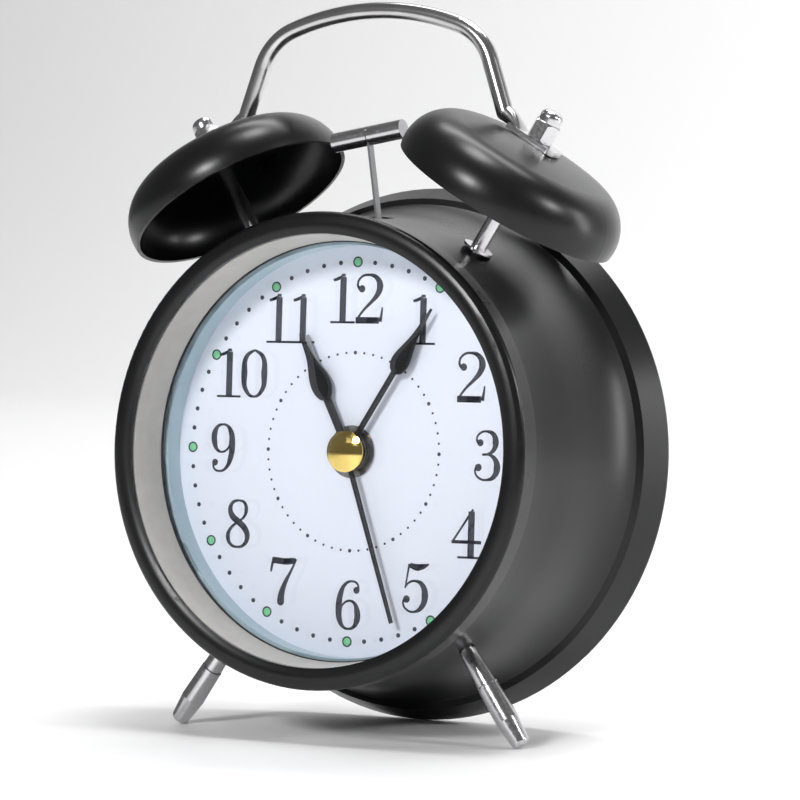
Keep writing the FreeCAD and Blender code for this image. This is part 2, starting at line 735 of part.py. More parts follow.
# ---------------------------------------------------------------- hands and the going train
def spade_hand(length, y, tube_r, stem, leaf_start, leaf_widest, leaf_half, time_angle):
    """Spade hand: parallel stem, a leaf with a blunt base, and a long point that thins to the tip."""
    run = length - leaf_widest
    shares = [(0.8, 0.22), (0.43, 0.45), (0.22, 0.75), (0.1, 1.0)]
    half = [(0.6 * leaf_half, leaf_start), (leaf_half, leaf_widest)]
    half += [(leaf_half * width, leaf_widest + run * along) for width, along in shares]
    right = Part.BSplineCurve()
    right.interpolate([V(x, y, z) for x, z in half])
    left = Part.BSplineCurve()
    left.interpolate([V(-x, y, z) for x, z in reversed(half)])
    low, high = half[0], half[-1]
    neck = leaf_start - stem / 2
    tail = [V(-low[0], y, low[1]), V(-stem, y, neck), V(-stem, y, 0), V(stem, y, 0), V(stem, y, neck),
            V(low[0], y, low[1])]
    edges = [Part.makeLine(a, b) for a, b in zip(tail, tail[1:])] + [right.toShape()]
    edges += [Part.makeLine(V(high[0], y, high[1]), V(-high[0], y, high[1])), left.toShape()]
    shape = Part.Face(Part.Wire(edges)).extrude(V(0, hand_thickness, 0))
    return hand_boss(shape, y, spade_boss_r, tube_r, time_angle)


def hand_boss(shape, y, boss_r, hole_r, time_angle):
    """Adds the round boss with its hole, and turns a hand drawn along +Z clockwise to its time."""
    shape = shape.fuse(rod(0, 0, y, y + hand_thickness, boss_r)).removeSplitter()
    shape = shape.cut(rod(0, 0, y - through, y + through, hole_r))
    shape.rotate(centre, back, time_angle)
    return shape


def bar_hand(length, y, root, tip, boss_r, hole_r, time_angle):
    points = [V(-root, y, 0), V(root, y, 0), V(tip, y, length), V(-tip, y, length)]
    shape = Part.Face(Part.makePolygon(points + points[:1])).extrude(V(0, hand_thickness, 0))
    return hand_boss(shape, y, boss_r, hole_r, time_angle)


def hour_hand():
    return spade_hand(hour_hand_length, hour_hand_y, hour_tube_r, hour_stem, hour_leaf_start,
                      hour_leaf_widest, hour_leaf_half, hour_time_angle)


def minute_hand():
    return spade_hand(minute_hand_length, minute_hand_y, minute_tube_r, minute_stem,
                      minute_leaf_start, minute_leaf_widest, minute_leaf_half, minute_time_angle)


def second_hand():
    return bar_hand(second_hand_length, second_hand_y, second_hand_root, second_hand_tip,
                    second_boss_r, arbor_r, second_time_angle)


def alarm_hand():
    return bar_hand(alarm_hand_length, alarm_hand_y, alarm_hand_root, alarm_hand_tip, alarm_boss_r,
                    alarm_tube_r, alarm_time_angle)


def hub_cap():
    """Domed brass cap pressed on the end of the second hand's arbor."""
    y = second_hand_y
    rise = cap_height - cap_edge
    dome_r = (cap_r ** 2 + rise ** 2) / (2 * rise)
    ball = Part.makeSphere(dome_r, V(0, y - cap_height + dome_r, 0))
    shape = ball.common(rod(0, 0, y - 2 * cap_height, y, cap_r))
    return shape.cut(rod(0, 0, y - 0.5, y + through, arbor_r))


def second_wheel():
    shape = rod(0, 0, second_hand_y - 0.5, bearing_back_y, arbor_r)
    shape = shape.fuse(gear(0, 0, second_layer, second_teeth, train_module, 0, step_angle))
    return shape.fuse(gear(0, 0, third_layer, second_pinion_teeth, third_module, 0, third_angle))


def third_wheel():
    x, z = third_axis.x, third_axis.z
    shape = rod(x, z, bearing_front_y, bearing_back_y, arbor_r)
    towards = third_angle + 180
    shape = shape.fuse(gear(x, z, third_layer, third_teeth, third_module, 0,
                            facing(towards, third_teeth)))
    return shape.fuse(gear(x, z, middle_layer, third_pinion_teeth, centre_module, 0,
                           facing(towards, third_pinion_teeth)))


def centre_wheel():
    return gear(0, 0, middle_layer, centre_teeth, centre_module, minute_tube_r + running, third_angle)


def cannon_pinion():
    """Tube that carries the minute hand; the centre wheel turns it through a slipping fit."""
    end = layer_y(middle_layer) + gear_width + gap
    shape = rod(0, 0, minute_hand_y, end, minute_tube_r)
    shape = shape.fuse(gear(0, 0, cannon_layer, cannon_teeth, train_module, 0, motion_angle))
    return shape.cut(rod(0, 0, minute_hand_y - through, end + through, arbor_r + running))


def motion_wheel():
    x, z = motion_axis.x, motion_axis.z
    towards = motion_angle + 180
    shape = gear(x, z, cannon_layer, motion_teeth, train_module, 0, facing(towards, motion_teeth))
    shape = shape.fuse(gear(x, z, hour_layer, motion_pinion_teeth, hour_module, 0,
                            facing(towards, motion_pinion_teeth)))
    shape = shape.fuse(rod(x, z, layer_y(hour_layer), layer_y(cannon_layer) + overlap, 2 * arbor_r))
    return shape.cut(rod(x, z, housing_front_y, housing_back_y, arbor_r + running))


def hour_wheel():
    end = layer_y(hour_layer) + gear_width
    shape = rod(0, 0, hour_hand_y, end, hour_tube_r)
    shape = shape.fuse(gear(0, 0, hour_layer, hour_teeth, hour_module, 0, motion_angle))
    return shape.cut(rod(0, 0, hour_hand_y - through, end + through, minute_tube_r + running))


def alarm_wheel():
    end = layer_y(alarm_layer) + gear_width
    shape = rod(0, 0, alarm_hand_y, end, alarm_tube_r)
    shape = shape.fuse(gear(0, 0, alarm_layer, alarm_teeth, train_module, 0, alarm_arbor_angle))
    return shape.cut(rod(0, 0, alarm_hand_y - through, end + through, hour_tube_r + running))


def step_wheel():
    x, z = step_axis.x, step_axis.z
    shape = rod(x, z, bearing_front_y, bearing_back_y, arbor_r)
    shape = shape.fuse(gear(x, z, second_layer, step_pinion_teeth, train_module, 0,
                            facing(step_angle + 180, step_pinion_teeth)))
    return shape.fuse(gear(x, z, step_layer, step_teeth, train_module, 0, rotor_angle))


def stepper_rotor():
    """Magnet and pinion of the stepping motor on one arbor."""
    x, z = rotor_axis.x, rotor_axis.z
    shape = rod(x, z, bearing_front_y, bearing_back_y, arbor_r)
    shape = shape.fuse(gear(x, z, step_layer, rotor_teeth, train_module, 0,
                            facing(rotor_angle + 180, rotor_teeth)))
    magnet_y = stator_y + (stator_thickness - rotor_magnet_length) / 2
    return shape.fuse(rod(x, z, magnet_y, magnet_y + rotor_magnet_length, rotor_magnet_r))


def setting_arbor(axis, layer_index, teeth, phase):
    x, z = axis.x, axis.z
    end = cover_back_y + knob_standoff + knob_length / 2
    shape = rod(x, z, bearing_front_y, end, setting_arbor_r)
    return shape.fuse(gear(x, z, layer_index, teeth, train_module, 0, phase))


def time_setting_arbor():
    """Its pinion takes up where the motion wheel's nearest tooth stands beside the line of centres."""
    start = facing(motion_angle + 180, motion_teeth)
    pitch = 360.0 / motion_teeth
    offset = start + round((motion_angle - start) / pitch) * pitch - motion_angle
    phase = facing(motion_angle + 180, setting_teeth) - offset * motion_teeth / setting_teeth
    return setting_arbor(setting_axis, cannon_layer, setting_teeth, phase)


def alarm_setting_arbor():
    return setting_arbor(alarm_arbor, alarm_layer, alarm_setting_teeth,
                         facing(alarm_arbor_angle + 180, alarm_setting_teeth))


def knob(axis):
    """Moulded knob with a fluted edge, standing off the rear cover."""
    x, z = axis.x, axis.z
    y0 = cover_back_y + knob_standoff
    shape = rod(x, z, y0, y0 + knob_length, knob_r)
    for k in range(knob_flutes):
        p = axis + polar(knob_r + flute_r / 2, 360.0 / knob_flutes * k)
        shape = shape.cut(rod(p.x, p.z, y0 - through, y0 + knob_length + through, flute_r))
    return shape.cut(rod(x, z, y0 - through, y0 + knob_length / 2, setting_arbor_r))


# ---------------------------------------------------------------- ringer
def ringer_gear():
    """Crank wheel: its pin stands in the fork of the hammer lever."""
    x, z = crank_axis.x, crank_axis.z
    wheel = gear(x, z, 0, crank_teeth, train_module, 0, motor_angle)
    wheel.translate(V(0, crank_y - layer_y(0), 0))
    away = radians(hammer_tilt)
    px = x + crank_throw * sin(away)
    pz = z - crank_throw * cos(away)
    pin = rod(px, pz, hammer_y - lever_thickness / 2 - gap / 2, crank_y + overlap, crank_pin_r)
    stub = rod(x, z, crank_y, bearing_back_y, arbor_r)
    return wheel.fuse(pin).fuse(stub)


def motor_pinion():
    x, z = motor_axis.x, motor_axis.z
    wheel = gear(x, z, 0, motor_teeth, train_module, 0, facing(motor_angle + 180, motor_teeth))
    wheel.translate(V(0, crank_y - layer_y(0), 0))
    return wheel.fuse(rod(x, z, crank_y, motor_front_y + 0.6, arbor_r))


def ringer_motor():
    """Small flat-sided motor can with a bearing hole for the pinion's shaft."""
    x, z = motor_axis.x, motor_axis.z
    y0, y1 = motor_front_y, motor_front_y + motor_length
    can = rod(x, z, y0, y1, motor_half_width)
    flat = block(x - 2 * motor_half_width, x + 2 * motor_half_width, y0 - through, y1 + through,
                 z - motor_half_height, z + motor_half_height)
    return can.common(flat).cut(rod(x, z, y0 - through, y0 + 2 * through, arbor_r + running))


def hammer_pin():
    return rod(pivot_x, pivot_z, housing_front_y + gap / 2, hammer_y + lever_thickness, pivot_pin_r)


# ---------------------------------------------------------------- movement housing
def movement_housing():
    """Open tray behind the dial, with the threaded neck, bearings, screw posts and the arm's slot."""
    w = housing_wall
    inner_y = housing_front_y + w
    outer = block(-housing_half_width, housing_half_width, housing_front_y, housing_back_y,
                  housing_bottom, housing_top)
    inner = block(-housing_half_width + w, housing_half_width - w, inner_y, housing_back_y + through,
                  housing_bottom + w, housing_top - w)
    neck_y = dial_y - dial_nut_thickness - gap
    shape = outer.cut(inner).fuse(rod(0, 0, neck_y, inner_y, neck_tube_r))
    shape = shape.fuse(rod(motion_axis.x, motion_axis.z, inner_y - overlap,
                           layer_y(cannon_layer) + gear_width, arbor_r))
    shape = shape.cut(rod(0, 0, neck_y - through, inner_y + through, alarm_tube_r + running))
    for x, z in housing_screw_places():
        shape = shape.fuse(tube(x, z, inner_y - overlap, housing_back_y, housing_screw_r + running,
                                housing_post_r))
    for axis, radius in bearings():
        shape = shape.cut(rod(axis.x, axis.z, housing_front_y - through, inner_y + through,
                              radius + running))
    shape = shape.cut(rod(pivot_x, pivot_z, housing_front_y - through, inner_y + through, pivot_pin_r))
    slot = arm_point(housing_top - pivot_z)
    return shape.cut(block(slot.x - hammer_slot_half, slot.x + hammer_slot_half,
                           hammer_y - arm_width * 0.8, hammer_y + arm_width * 0.8,
                           housing_top - 2 * w, housing_top + through))


def bearings():
    """Every arbor that runs through the housing's front wall and the cover, with its radius."""
    return [(third_axis, arbor_r), (step_axis, arbor_r), (rotor_axis, arbor_r),
            (setting_axis, setting_arbor_r), (alarm_arbor, setting_arbor_r)]


def housing_screw_places():
    x = housing_half_width - housing_post_inset
    high, low = housing_top - housing_post_inset, housing_bottom + housing_post_inset
    return [(x, high), (-x, high), (x, low), (-x, low)]


def movement_cover():
    y0, y1 = housing_back_y, housing_back_y + housing_wall
    shape = block(-housing_half_width, housing_half_width, y0, y1, housing_bottom, housing_top)
    for axis, radius in bearings() + [(centre, arbor_r), (crank_axis, arbor_r)]:
        shape = shape.cut(rod(axis.x, axis.z, y0 - through, y1 + through, radius + running))
    x, z = motor_axis.x, motor_axis.z
    shape = shape.cut(block(x - motor_half_width - gap, x + motor_half_width + gap, y0 - through,
                            y1 + through, z - motor_half_height - gap, z + motor_half_height + gap))
    for px, pz in housing_screw_places():
        shape = shape.cut(rod(px, pz, y0 - through, y1 + through, housing_screw_r + gap))
    return shape


def screw(x, z, seat_y, length, shank_r):
    """Pan head screw with a cross recess; the head stands behind seat_y."""
    cap_screw_r = 1.9 * shank_r + 0.1
    top = seat_y + shank_r + 0.1
    shape = rod(x, z, seat_y, top, cap_screw_r).fuse(rod(x, z, seat_y - length, seat_y, shank_r))
    arm, half, floor = cap_screw_r * 0.6, cap_screw_r * 0.12, top - shank_r / 2
    shape = shape.cut(block(x - arm, x + arm, floor, top + through, z - half, z + half))
    return shape.cut(block(x - half, x + half, floor, top + through, z - arm, z + arm))


def stator():
    """Stepping motor's soft iron plate, with a hole round the rotor magnet and a window."""
    x, z = rotor_axis.x, rotor_axis.z
    y0, y1 = stator_y, stator_y + stator_thickness
    rim = rotor_magnet_r + 2 * gap
    plate = block(x - stator_reach, x + rim + stator_end, y0, y1, z - stator_half_height,
                  z + stator_half_height)
    window_end = x - rim - stator_web
    plate = plate.cut(block(window_end - stator_window, window_end, y0 - through, y1 + through,
                            z - stator_half_height + stator_limb,
                            z + stator_half_height + through))
    return plate.cut(rod(x, z, y0 - through, y1 + through, rim))


def coil():
    """Winding round the stator's limb, in the middle of the window."""
    window_end = rotor_axis.x - rotor_magnet_r - 2 * gap - stator_web
    limb_z = rotor_axis.z - stator_half_height
    start = V(window_end - (stator_window + coil_length) / 2, stator_y + stator_thickness / 2,
              limb_z + stator_limb / 2)
    winding = Part.makeCylinder(coil_r, coil_length, start, V(1, 0, 0))
    return winding.cut(block(start.x - through, start.x + coil_length + through, stator_y,
                             stator_y + stator_thickness, limb_z, limb_z + stator_limb))


def circuit_board():
    return block(board_left, board_left + board_width, board_y, board_y + board_thickness,
                 board_bottom, board_bottom + board_height)


def quartz_crystal():
    """Can of the crystal, lying on the board."""
    return Part.makeCylinder(crystal_r, crystal_length,
                             V(board_left + board_width / 2,
                               board_y + board_thickness + crystal_r + gap / 2,
                               board_bottom + crystal_r * 3), V(0, 0, 1))


def alarm_contact():
    """Leaf spring beside the alarm wheel, standing on the housing's front wall."""
    end_x = housing_half_width - 2 * housing_wall - gap / 2
    z0, z1 = contact_leaf_z, contact_leaf_z + contact_leaf_height
    y0 = housing_front_y + housing_wall
    leaf_y = y0 + contact_leaf_rise
    back_y = leaf_y + contact_leaf_thickness
    leaf = block(end_x - contact_leaf_length, end_x, leaf_y, back_y, z0, z1)
    return leaf.fuse(block(end_x - through, end_x, y0, back_y, z0, z1))


# ---------------------------------------------------------------- rear cover and what is on it
def bay_block(grow, y0, y1):
    half_height = bay_height / 2
    return block(-bay_half_length - grow, bay_half_length + grow, y0, y1,
                 bay_center_z - half_height - grow, bay_center_z + half_height + grow)


def rear_cover():
    """Moulded back with the battery tray, arbor holes, switch slot and button hole."""
    cover_r = rim_r - rim_roll - rim_lip - gap
    front_y, back_y = cover_y - through, cover_back_y + through
    shape = rod(0, 0, cover_y, cover_back_y, cover_r)
    shape = shape.fuse(bay_block(bay_wall, bay_front_y, cover_y + overlap))
    shape = shape.cut(bay_block(0, bay_front_y + bay_wall, back_y))
    ledge_y = cover_back_y - lid_thickness - overlap
    ledge = bay_block(0, ledge_y - lid_thickness, ledge_y)
    shape = shape.fuse(ledge.cut(bay_block(-lid_overlap, bay_front_y, back_y)))
    for axis in (setting_axis, alarm_arbor):
        shape = shape.cut(rod(axis.x, axis.z, front_y, back_y, setting_arbor_r + running))
    half = switch_travel / 2 + switch_stem + gap
    slot_half = switch_stem + gap / 2
    shape = shape.cut(block(switch_x - half, switch_x + half, front_y, back_y,
                            switch_z - slot_half, switch_z + slot_half))
    shape = shape.cut(rod(button_x, button_z, front_y, back_y, button_r + gap))
    for x, z in cover_screw_places():
        shape = shape.cut(rod(x, z, cover_y - lug_thickness, back_y, cover_screw_r + gap))
    return shape


def cover_screw_places():
    return [(cover_screw_radius * sin(radians(a)), cover_screw_radius * cos(radians(a)))
            for a in (0, 120, 240)]


def cover_lug(x, z):
    """Sheet lug spot-welded in the case flange, tapped for a cover screw."""
    front_y = cover_y - gap - lug_thickness
    shape = block(-lug_half_width, lug_half_width, front_y, cover_y - gap, cover_screw_radius - lug_reach,
                  rim_r - sheet - 2.0)
    shape = shape.cut(rod(0, cover_screw_radius, front_y - through, cover_y + through, cover_screw_r))
    shape.rotate(centre, back, degrees(atan2(x, z)))
    return shape


def alarm_switch():
    """Slide button: a ribbed thumb piece outside, a stem through the slot and a keeper inside."""
    x, z = switch_x - switch_travel / 2, switch_z
    top = cover_back_y + switch_height
    length, height, stem = switch_half_length, switch_half_height, switch_stem
    shape = block(x - length, x + length, cover_back_y + gap, top, z - height, z + height)
    for k in (-1, 0, 1):
        groove = x + switch_groove_pitch * k
        shape = shape.cut(block(groove - switch_groove, groove + switch_groove,
                                top - switch_groove_depth, top + through, z - 2 * height,
                                z + 2 * height))
    shape = shape.fuse(block(x - stem, x + stem, cover_y - 2 * gap, cover_back_y + gap + overlap,
                             z - stem + gap / 2, z + stem - gap / 2))
    keeper = 2 * stem
    return shape.fuse(block(x - keeper, x + keeper, cover_y - gap - stem, cover_y - gap,
                            z - keeper, z + keeper))


def button_inner_y():
    return cover_y - 8 * gap


def light_button():
    """Push button with a flange behind the cover; it stands button_height out of the back."""
    inner_y = button_inner_y()
    shape = rod(button_x, button_z, inner_y, cover_back_y + button_height, button_r)
    return shape.fuse(rod(button_x, button_z, inner_y, cover_y - 2 * gap, button_r + button_flange))


def light_switch():
    """Push switch on a stalk of the movement cover, just inside the light button."""
    top = button_inner_y() - button_travel - gap
    plunger_r = button_r - 2.0
    half, body_y = 2 * plunger_r, top - 6 * gap
    body = block(button_x - half, button_x + half, body_y - 1.1 * half, body_y, button_z - half,
                 button_z + half)
    plunger = rod(button_x, button_z, body_y - overlap, top, plunger_r)
    stalk = rod(button_x, button_z, housing_back_y + housing_wall, body_y - half, plunger_r + 0.3)
    return body.fuse(plunger).fuse(stalk)


def lamp():
    """Small lamp for the dial, outside the dial spacer at twelve."""
    level = (glass_y + glass_thickness + spacer_flange + dial_y) / 2
    return Part.makeCylinder(lamp_r, lamp_length, V(0, level, spacer_outer_r + running), V(0, 0, 1))


def battery_cover():
    """Lid with finger ridges; it rests on the bay's ledge and lifts straight off the back."""
    front_y = cover_back_y - lid_thickness
    half = bay_height / 2 - gap
    shape = block(-lid_half_length, lid_half_length, front_y, cover_back_y, bay_center_z - half,
                  bay_center_z + half)
    for k in range(lid_ridges):
        z = bay_center_z + (k - (lid_ridges - 1) / 2) * lid_ridge_pitch - lid_ridge_width / 2
        shape = shape.fuse(block(-lid_ridge_half, lid_ridge_half, cover_back_y - overlap,
                                 cover_back_y + 2 * gap, z, z + lid_ridge_width))
    return shape


def battery_spring():
    """Negative contact: a plate at the left end of the bay with a leaf bent out of it."""
    x = -bay_half_length + gap / 2
    z0, z1 = bay_center_z - contact_half, bay_center_z + contact_half
    thick = contact_thickness
    y0, y1 = battery_axis_y - contact_half, battery_axis_y + contact_half
    plate = block(x, x + thick, y0, y1, z0, z1)
    crest = x + contact_spring_reach
    leaf = [(x, y0), (x + thick, y0), (crest, battery_axis_y), (x + 3 * thick, y1 - 2.0),
            (x + 2 * thick, y1 - 2.0), (crest - 1.5 * thick, battery_axis_y)]
    corners = [V(px, py, bay_center_z - contact_half / 2) for px, py in leaf]
    bent = Part.Face(Part.makePolygon(corners + corners[:1])).extrude(V(0, 0, contact_half))
    return plate.fuse(bent)


def battery_plate():
    """Positive contact plate with a pressed dimple, at the right end of the bay."""
    x = bay_half_length - gap / 2 - contact_thickness
    plate = block(x, x + contact_thickness, battery_axis_y - contact_half,
                  battery_axis_y + contact_half, bay_center_z - contact_half,
                  bay_center_z + contact_half)
    dimple = Part.makeCone(contact_dimple_r, contact_dimple_r * 0.75, contact_dimple_height,
                           V(x + overlap, battery_axis_y, bay_center_z), V(-1, 0, 0))
    return plate.fuse(dimple)


# ---------------------------------------------------------------- standing on the floor
def floor_levels(lean):
    """Lowest heights of the foot tips and of the rear rim below the case axis after leaning back."""
    s, c = sin(lean), cos(lean)
    ball_centre = foot_tip_height - foot_tip_round
    upright = cos(radians(foot_angle)) * c
    foot_low = (-foot_plane_y * s - ball_centre * upright
                - (foot_tip_r - foot_tip_round) * sqrt(1 - upright ** 2) - foot_tip_round)
    rim_low = -rim_y * s - (rim_r - rim_roll) * c - rim_roll
    return foot_low, rim_low


def find_lean():
    low, high = 0.0, radians(30)
    for _ in range(60):
        middle = (low + high) / 2
        foot_low, rim_low = floor_levels(middle)
        if foot_low < rim_low:
            low = middle
        else:
            high = middle
    return (low + high) / 2


lean = find_lean()
axis_height = -floor_levels(lean)[0]


def lean_back(shape):
    shape.rotate(centre, V(1, 0, 0), -degrees(lean))
    return shape


# ---------------------------------------------------------------- all the pieces
def both(maker):
    return group([maker(1), maker(-1)])


def nodes():
    return {
        "case_shell": case_shell(),
        "front_bezel": front_bezel(),
        "bezel_liner": bezel_liner(),
        "lens_gasket": tube(0, 0, glass_y - gasket_thickness, glass_y, glass_edge_r - gap, glass_r),
        "lens": rod(0, 0, glass_y, glass_y + glass_thickness, glass_r),
        "dial_spacer": dial_spacer(),
        "dial": tube(0, 0, dial_y, dial_y + dial_thickness, neck_tube_r + gap, dial_r),
        "dial_nut": tube(0, 0, dial_y - dial_nut_thickness, dial_y, neck_tube_r + running, dial_nut_r),
        "bell_left": bell(-1),
        "bell_right": bell(1),
        "bell_posts": both(bell_post),
        "post_washers": both(post_washer),
        "post_nuts": both(lambda s: plain_nut(post_nut_end(), bell_angle, post_plane_y, s)),
        "acorn_nuts": both(acorn_nut),
        "handle": handle(),
        "foot_left": foot(-1),
        "foot_right": foot(1),
        "foot_nuts": both(lambda s: plain_nut(foot_nut_end(), 180 - foot_angle, foot_plane_y, s)),
        "hammer_head": hammer_head(),
        "hammer_arm": hammer_arm(),
        "hammer_lever": hammer_lever(),
        "hammer_pin": hammer_pin(),
        "ringer_gear": ringer_gear(),
        "motor_pinion": motor_pinion(),
        "ringer_motor": ringer_motor(),
        "second_hand": second_hand(),
        "hub_cap": hub_cap(),
        "second_wheel": second_wheel(),
        "third_wheel": third_wheel(),
        "centre_wheel": centre_wheel(),
        "minute_hand": minute_hand(),
        "cannon_pinion": cannon_pinion(),
        "motion_wheel": motion_wheel(),
        "hour_hand": hour_hand(),
        "hour_wheel": hour_wheel(),
        "alarm_hand": alarm_hand(),
        "alarm_wheel": alarm_wheel(),
        "step_wheel": step_wheel(),
        "stepper_rotor": stepper_rotor(),
        "stator": stator(),
        "coil": coil(),
        "circuit_board": circuit_board(),
        "quartz_crystal": quartz_crystal(),
        "alarm_contact": alarm_contact(),
        "movement_housing": movement_housing(),
        "lamp": lamp(),
        "movement_cover": movement_cover(),
        "housing_screws": group([screw(x, z, housing_back_y + housing_wall, housing_screw_length,
                                       housing_screw_r) for x, z in housing_screw_places()]),
        "time_setting_arbor": time_setting_arbor(),
        "time_knob": knob(setting_axis),
        "alarm_setting_arbor": alarm_setting_arbor(),
        "alarm_knob": knob(alarm_arbor),
        "rear_cover": rear_cover(),
        "cover_screws": group([screw(x, z, cover_back_y, cover_screw_length, cover_screw_r)
                               for x, z in cover_screw_places()]),
        "cover_lugs": group([cover_lug(x, z) for x, z in cover_screw_places()]),
        "battery_cover": battery_cover(),
        "battery_contacts": group([battery_spring(), battery_plate()]),
        "alarm_switch": alarm_switch(),
        "light_button": light_button(),
        "light_switch": light_switch(),
    }


os.makedirs("parts", exist_ok=True)
leaned = {name: lean_back(shape) for name, shape in nodes().items()}
front_y = leaned["front_bezel"].optimalBoundingBox().YMin
back_y = max(leaned[name].optimalBoundingBox().YMax for name in ("time_knob", "alarm_knob"))
to_floor_centre = V(0, -(front_y + back_y) / 2, axis_height)
for name, shape in leaned.items():
    shape.translate(to_floor_centre)
    shape.exportStep(f"parts/{name}.step")
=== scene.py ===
import json
import math

import bmesh
import bpy
from mathutils import Matrix, Vector


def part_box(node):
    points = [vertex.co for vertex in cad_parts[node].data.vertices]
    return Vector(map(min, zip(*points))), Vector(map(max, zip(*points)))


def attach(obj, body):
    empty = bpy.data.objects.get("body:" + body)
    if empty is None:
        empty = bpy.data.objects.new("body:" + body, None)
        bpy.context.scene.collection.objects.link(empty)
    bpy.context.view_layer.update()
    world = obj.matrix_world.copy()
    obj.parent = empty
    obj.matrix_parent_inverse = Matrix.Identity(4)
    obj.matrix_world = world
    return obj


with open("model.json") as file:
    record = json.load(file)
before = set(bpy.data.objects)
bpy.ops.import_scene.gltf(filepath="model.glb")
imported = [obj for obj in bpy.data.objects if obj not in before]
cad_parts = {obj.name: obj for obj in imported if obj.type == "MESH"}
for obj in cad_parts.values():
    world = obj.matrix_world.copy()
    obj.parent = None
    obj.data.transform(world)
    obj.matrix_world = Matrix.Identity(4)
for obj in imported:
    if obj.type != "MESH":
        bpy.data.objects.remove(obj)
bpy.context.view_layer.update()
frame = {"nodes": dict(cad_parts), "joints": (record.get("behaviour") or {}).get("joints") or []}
MM = 0.001


# ---- Case shell
# The case is one drum of deep-drawn steel sheet with a rolled rear edge. It is dipped in primer, then
# sprayed and stoved with a semi-gloss black, which leaves a faint orange peel and broad soft highlights.
def linear(hex_colour):
    """An sRGB hex colour as the linear colour that a shader takes."""
    parts = [int(hex_colour[i:i + 2], 16) / 255 for i in (1, 3, 5)]
    return [c / 12.92 if c <= 0.04045 else ((c + 0.055) / 1.055) ** 2.4 for c in parts] + [1.0]


def add(tree, kind, inputs=None, **settings):
    """Adds one node, with its settings, and each input's value or the output that feeds it."""
    made = tree.nodes.new(kind)
    for name, value in settings.items():
        setattr(made, name, value)
    for name, value in (inputs or {}).items():
        if isinstance(value, bpy.types.NodeSocket):
            tree.links.new(value, made.inputs[name])
        else:
            made.inputs[name].default_value = value
    return made


def finish(name, metallic=0.0, roughness=0.5, **sockets):
    """A material, its node tree, its surface shader and the object's own coordinates for patterns."""
    made = bpy.data.materials.new(name)
    made.use_nodes = True
    tree = made.node_tree
    shader = tree.nodes["Principled BSDF"]
    shader.inputs["Metallic"].default_value = metallic
    shader.inputs["Roughness"].default_value = roughness
    for socket, value in sockets.items():
        shader.inputs[socket.replace("_", " ")].default_value = value
    place = add(tree, "ShaderNodeTexCoord").outputs["Object"]
    return made, tree, shader, place


def coat(material, *names):
    """Puts one finish on these pieces of the frame."""
    for name in names:
        mesh = frame["nodes"][name].data
        mesh.materials.clear()
        mesh.materials.append(material)


def per_mm(size):
    """Pattern scale that gives a feature of about this size in millimetres."""
    return 1.0 / (size * MM)


black_paint, tree, shader, place = finish("black_stoved_paint_semi_gloss", roughness=0.3, IOR=1.5,
                                          Specular_IOR_Level=0.35)
peel = add(tree, "ShaderNodeTexNoise", {"Vector": place, "Scale": per_mm(1.6), "Detail": 2.0})
cloud = add(tree, "ShaderNodeTexNoise", {"Vector": place, "Scale": per_mm(24.0), "Detail": 3.0})
shade = add(tree, "ShaderNodeValToRGB", {"Fac": cloud.outputs["Fac"]})
shade.color_ramp.elements[0].color = linear("#0B0B0C")
shade.color_ramp.elements[1].color = linear("#121214")
gloss = add(tree, "ShaderNodeMapRange", {"Value": cloud.outputs["Fac"], "From Min": 0.3, "From Max": 0.7,
                                         "To Min": 0.27, "To Max": 0.33})
peel_bump = add(tree, "ShaderNodeBump", {"Height": peel.outputs["Fac"], "Strength": 0.05,
                                         "Distance": 0.05 * MM})
tree.links.new(shade.outputs["Color"], shader.inputs["Base Color"])
tree.links.new(gloss.outputs["Result"], shader.inputs["Roughness"])
tree.links.new(peel_bump.outputs["Normal"], shader.inputs["Normal"])
coat(black_paint, "case_shell")


# ---- Feet and the nuts that hold them
# Each foot is turned from mild steel bar on an automatic lathe and nickel plated, and a fine mottle breaks
# the shine of the plate. Its stud goes through the case into a zinc plated nut.
nickel, tree, shader, place = finish("nickel_plate_turned", metallic=1.0, roughness=0.2)
mottle = add(tree, "ShaderNodeTexNoise", {"Vector": place, "Scale": per_mm(0.7), "Detail": 3.0})
tone = add(tree, "ShaderNodeValToRGB", {"Fac": mottle.outputs["Fac"]})
tone.color_ramp.elements[0].color = linear("#B4B3B6")
tone.color_ramp.elements[1].color = linear("#D6D5D6")
wear = add(tree, "ShaderNodeMapRange", {"Value": mottle.outputs["Fac"], "From Min": 0.3, "From Max": 0.7,
                                        "To Min": 0.16, "To Max": 0.26})
tree.links.new(tone.outputs["Color"], shader.inputs["Base Color"])
tree.links.new(wear.outputs["Result"], shader.inputs["Roughness"])
coat(nickel, "foot_left", "foot_right", "dial_nut")

zinc, tree, shader, place = finish("zinc_plated_steel", metallic=1.0, roughness=0.35)
spangle = add(tree, "ShaderNodeTexVoronoi", {"Vector": place, "Scale": per_mm(0.9)})
tone = add(tree, "ShaderNodeValToRGB", {"Fac": spangle.outputs["Distance"]})
tone.color_ramp.elements[0].color = linear("#A9ADB0")
tone.color_ramp.elements[1].color = linear("#C4C6C6")
tree.links.new(tone.outputs["Color"], shader.inputs["Base Color"])
coat(zinc, "foot_nuts", "post_nuts", "housing_screws", "cover_screws", "cover_lugs", "hammer_pin",
     "ringer_motor")


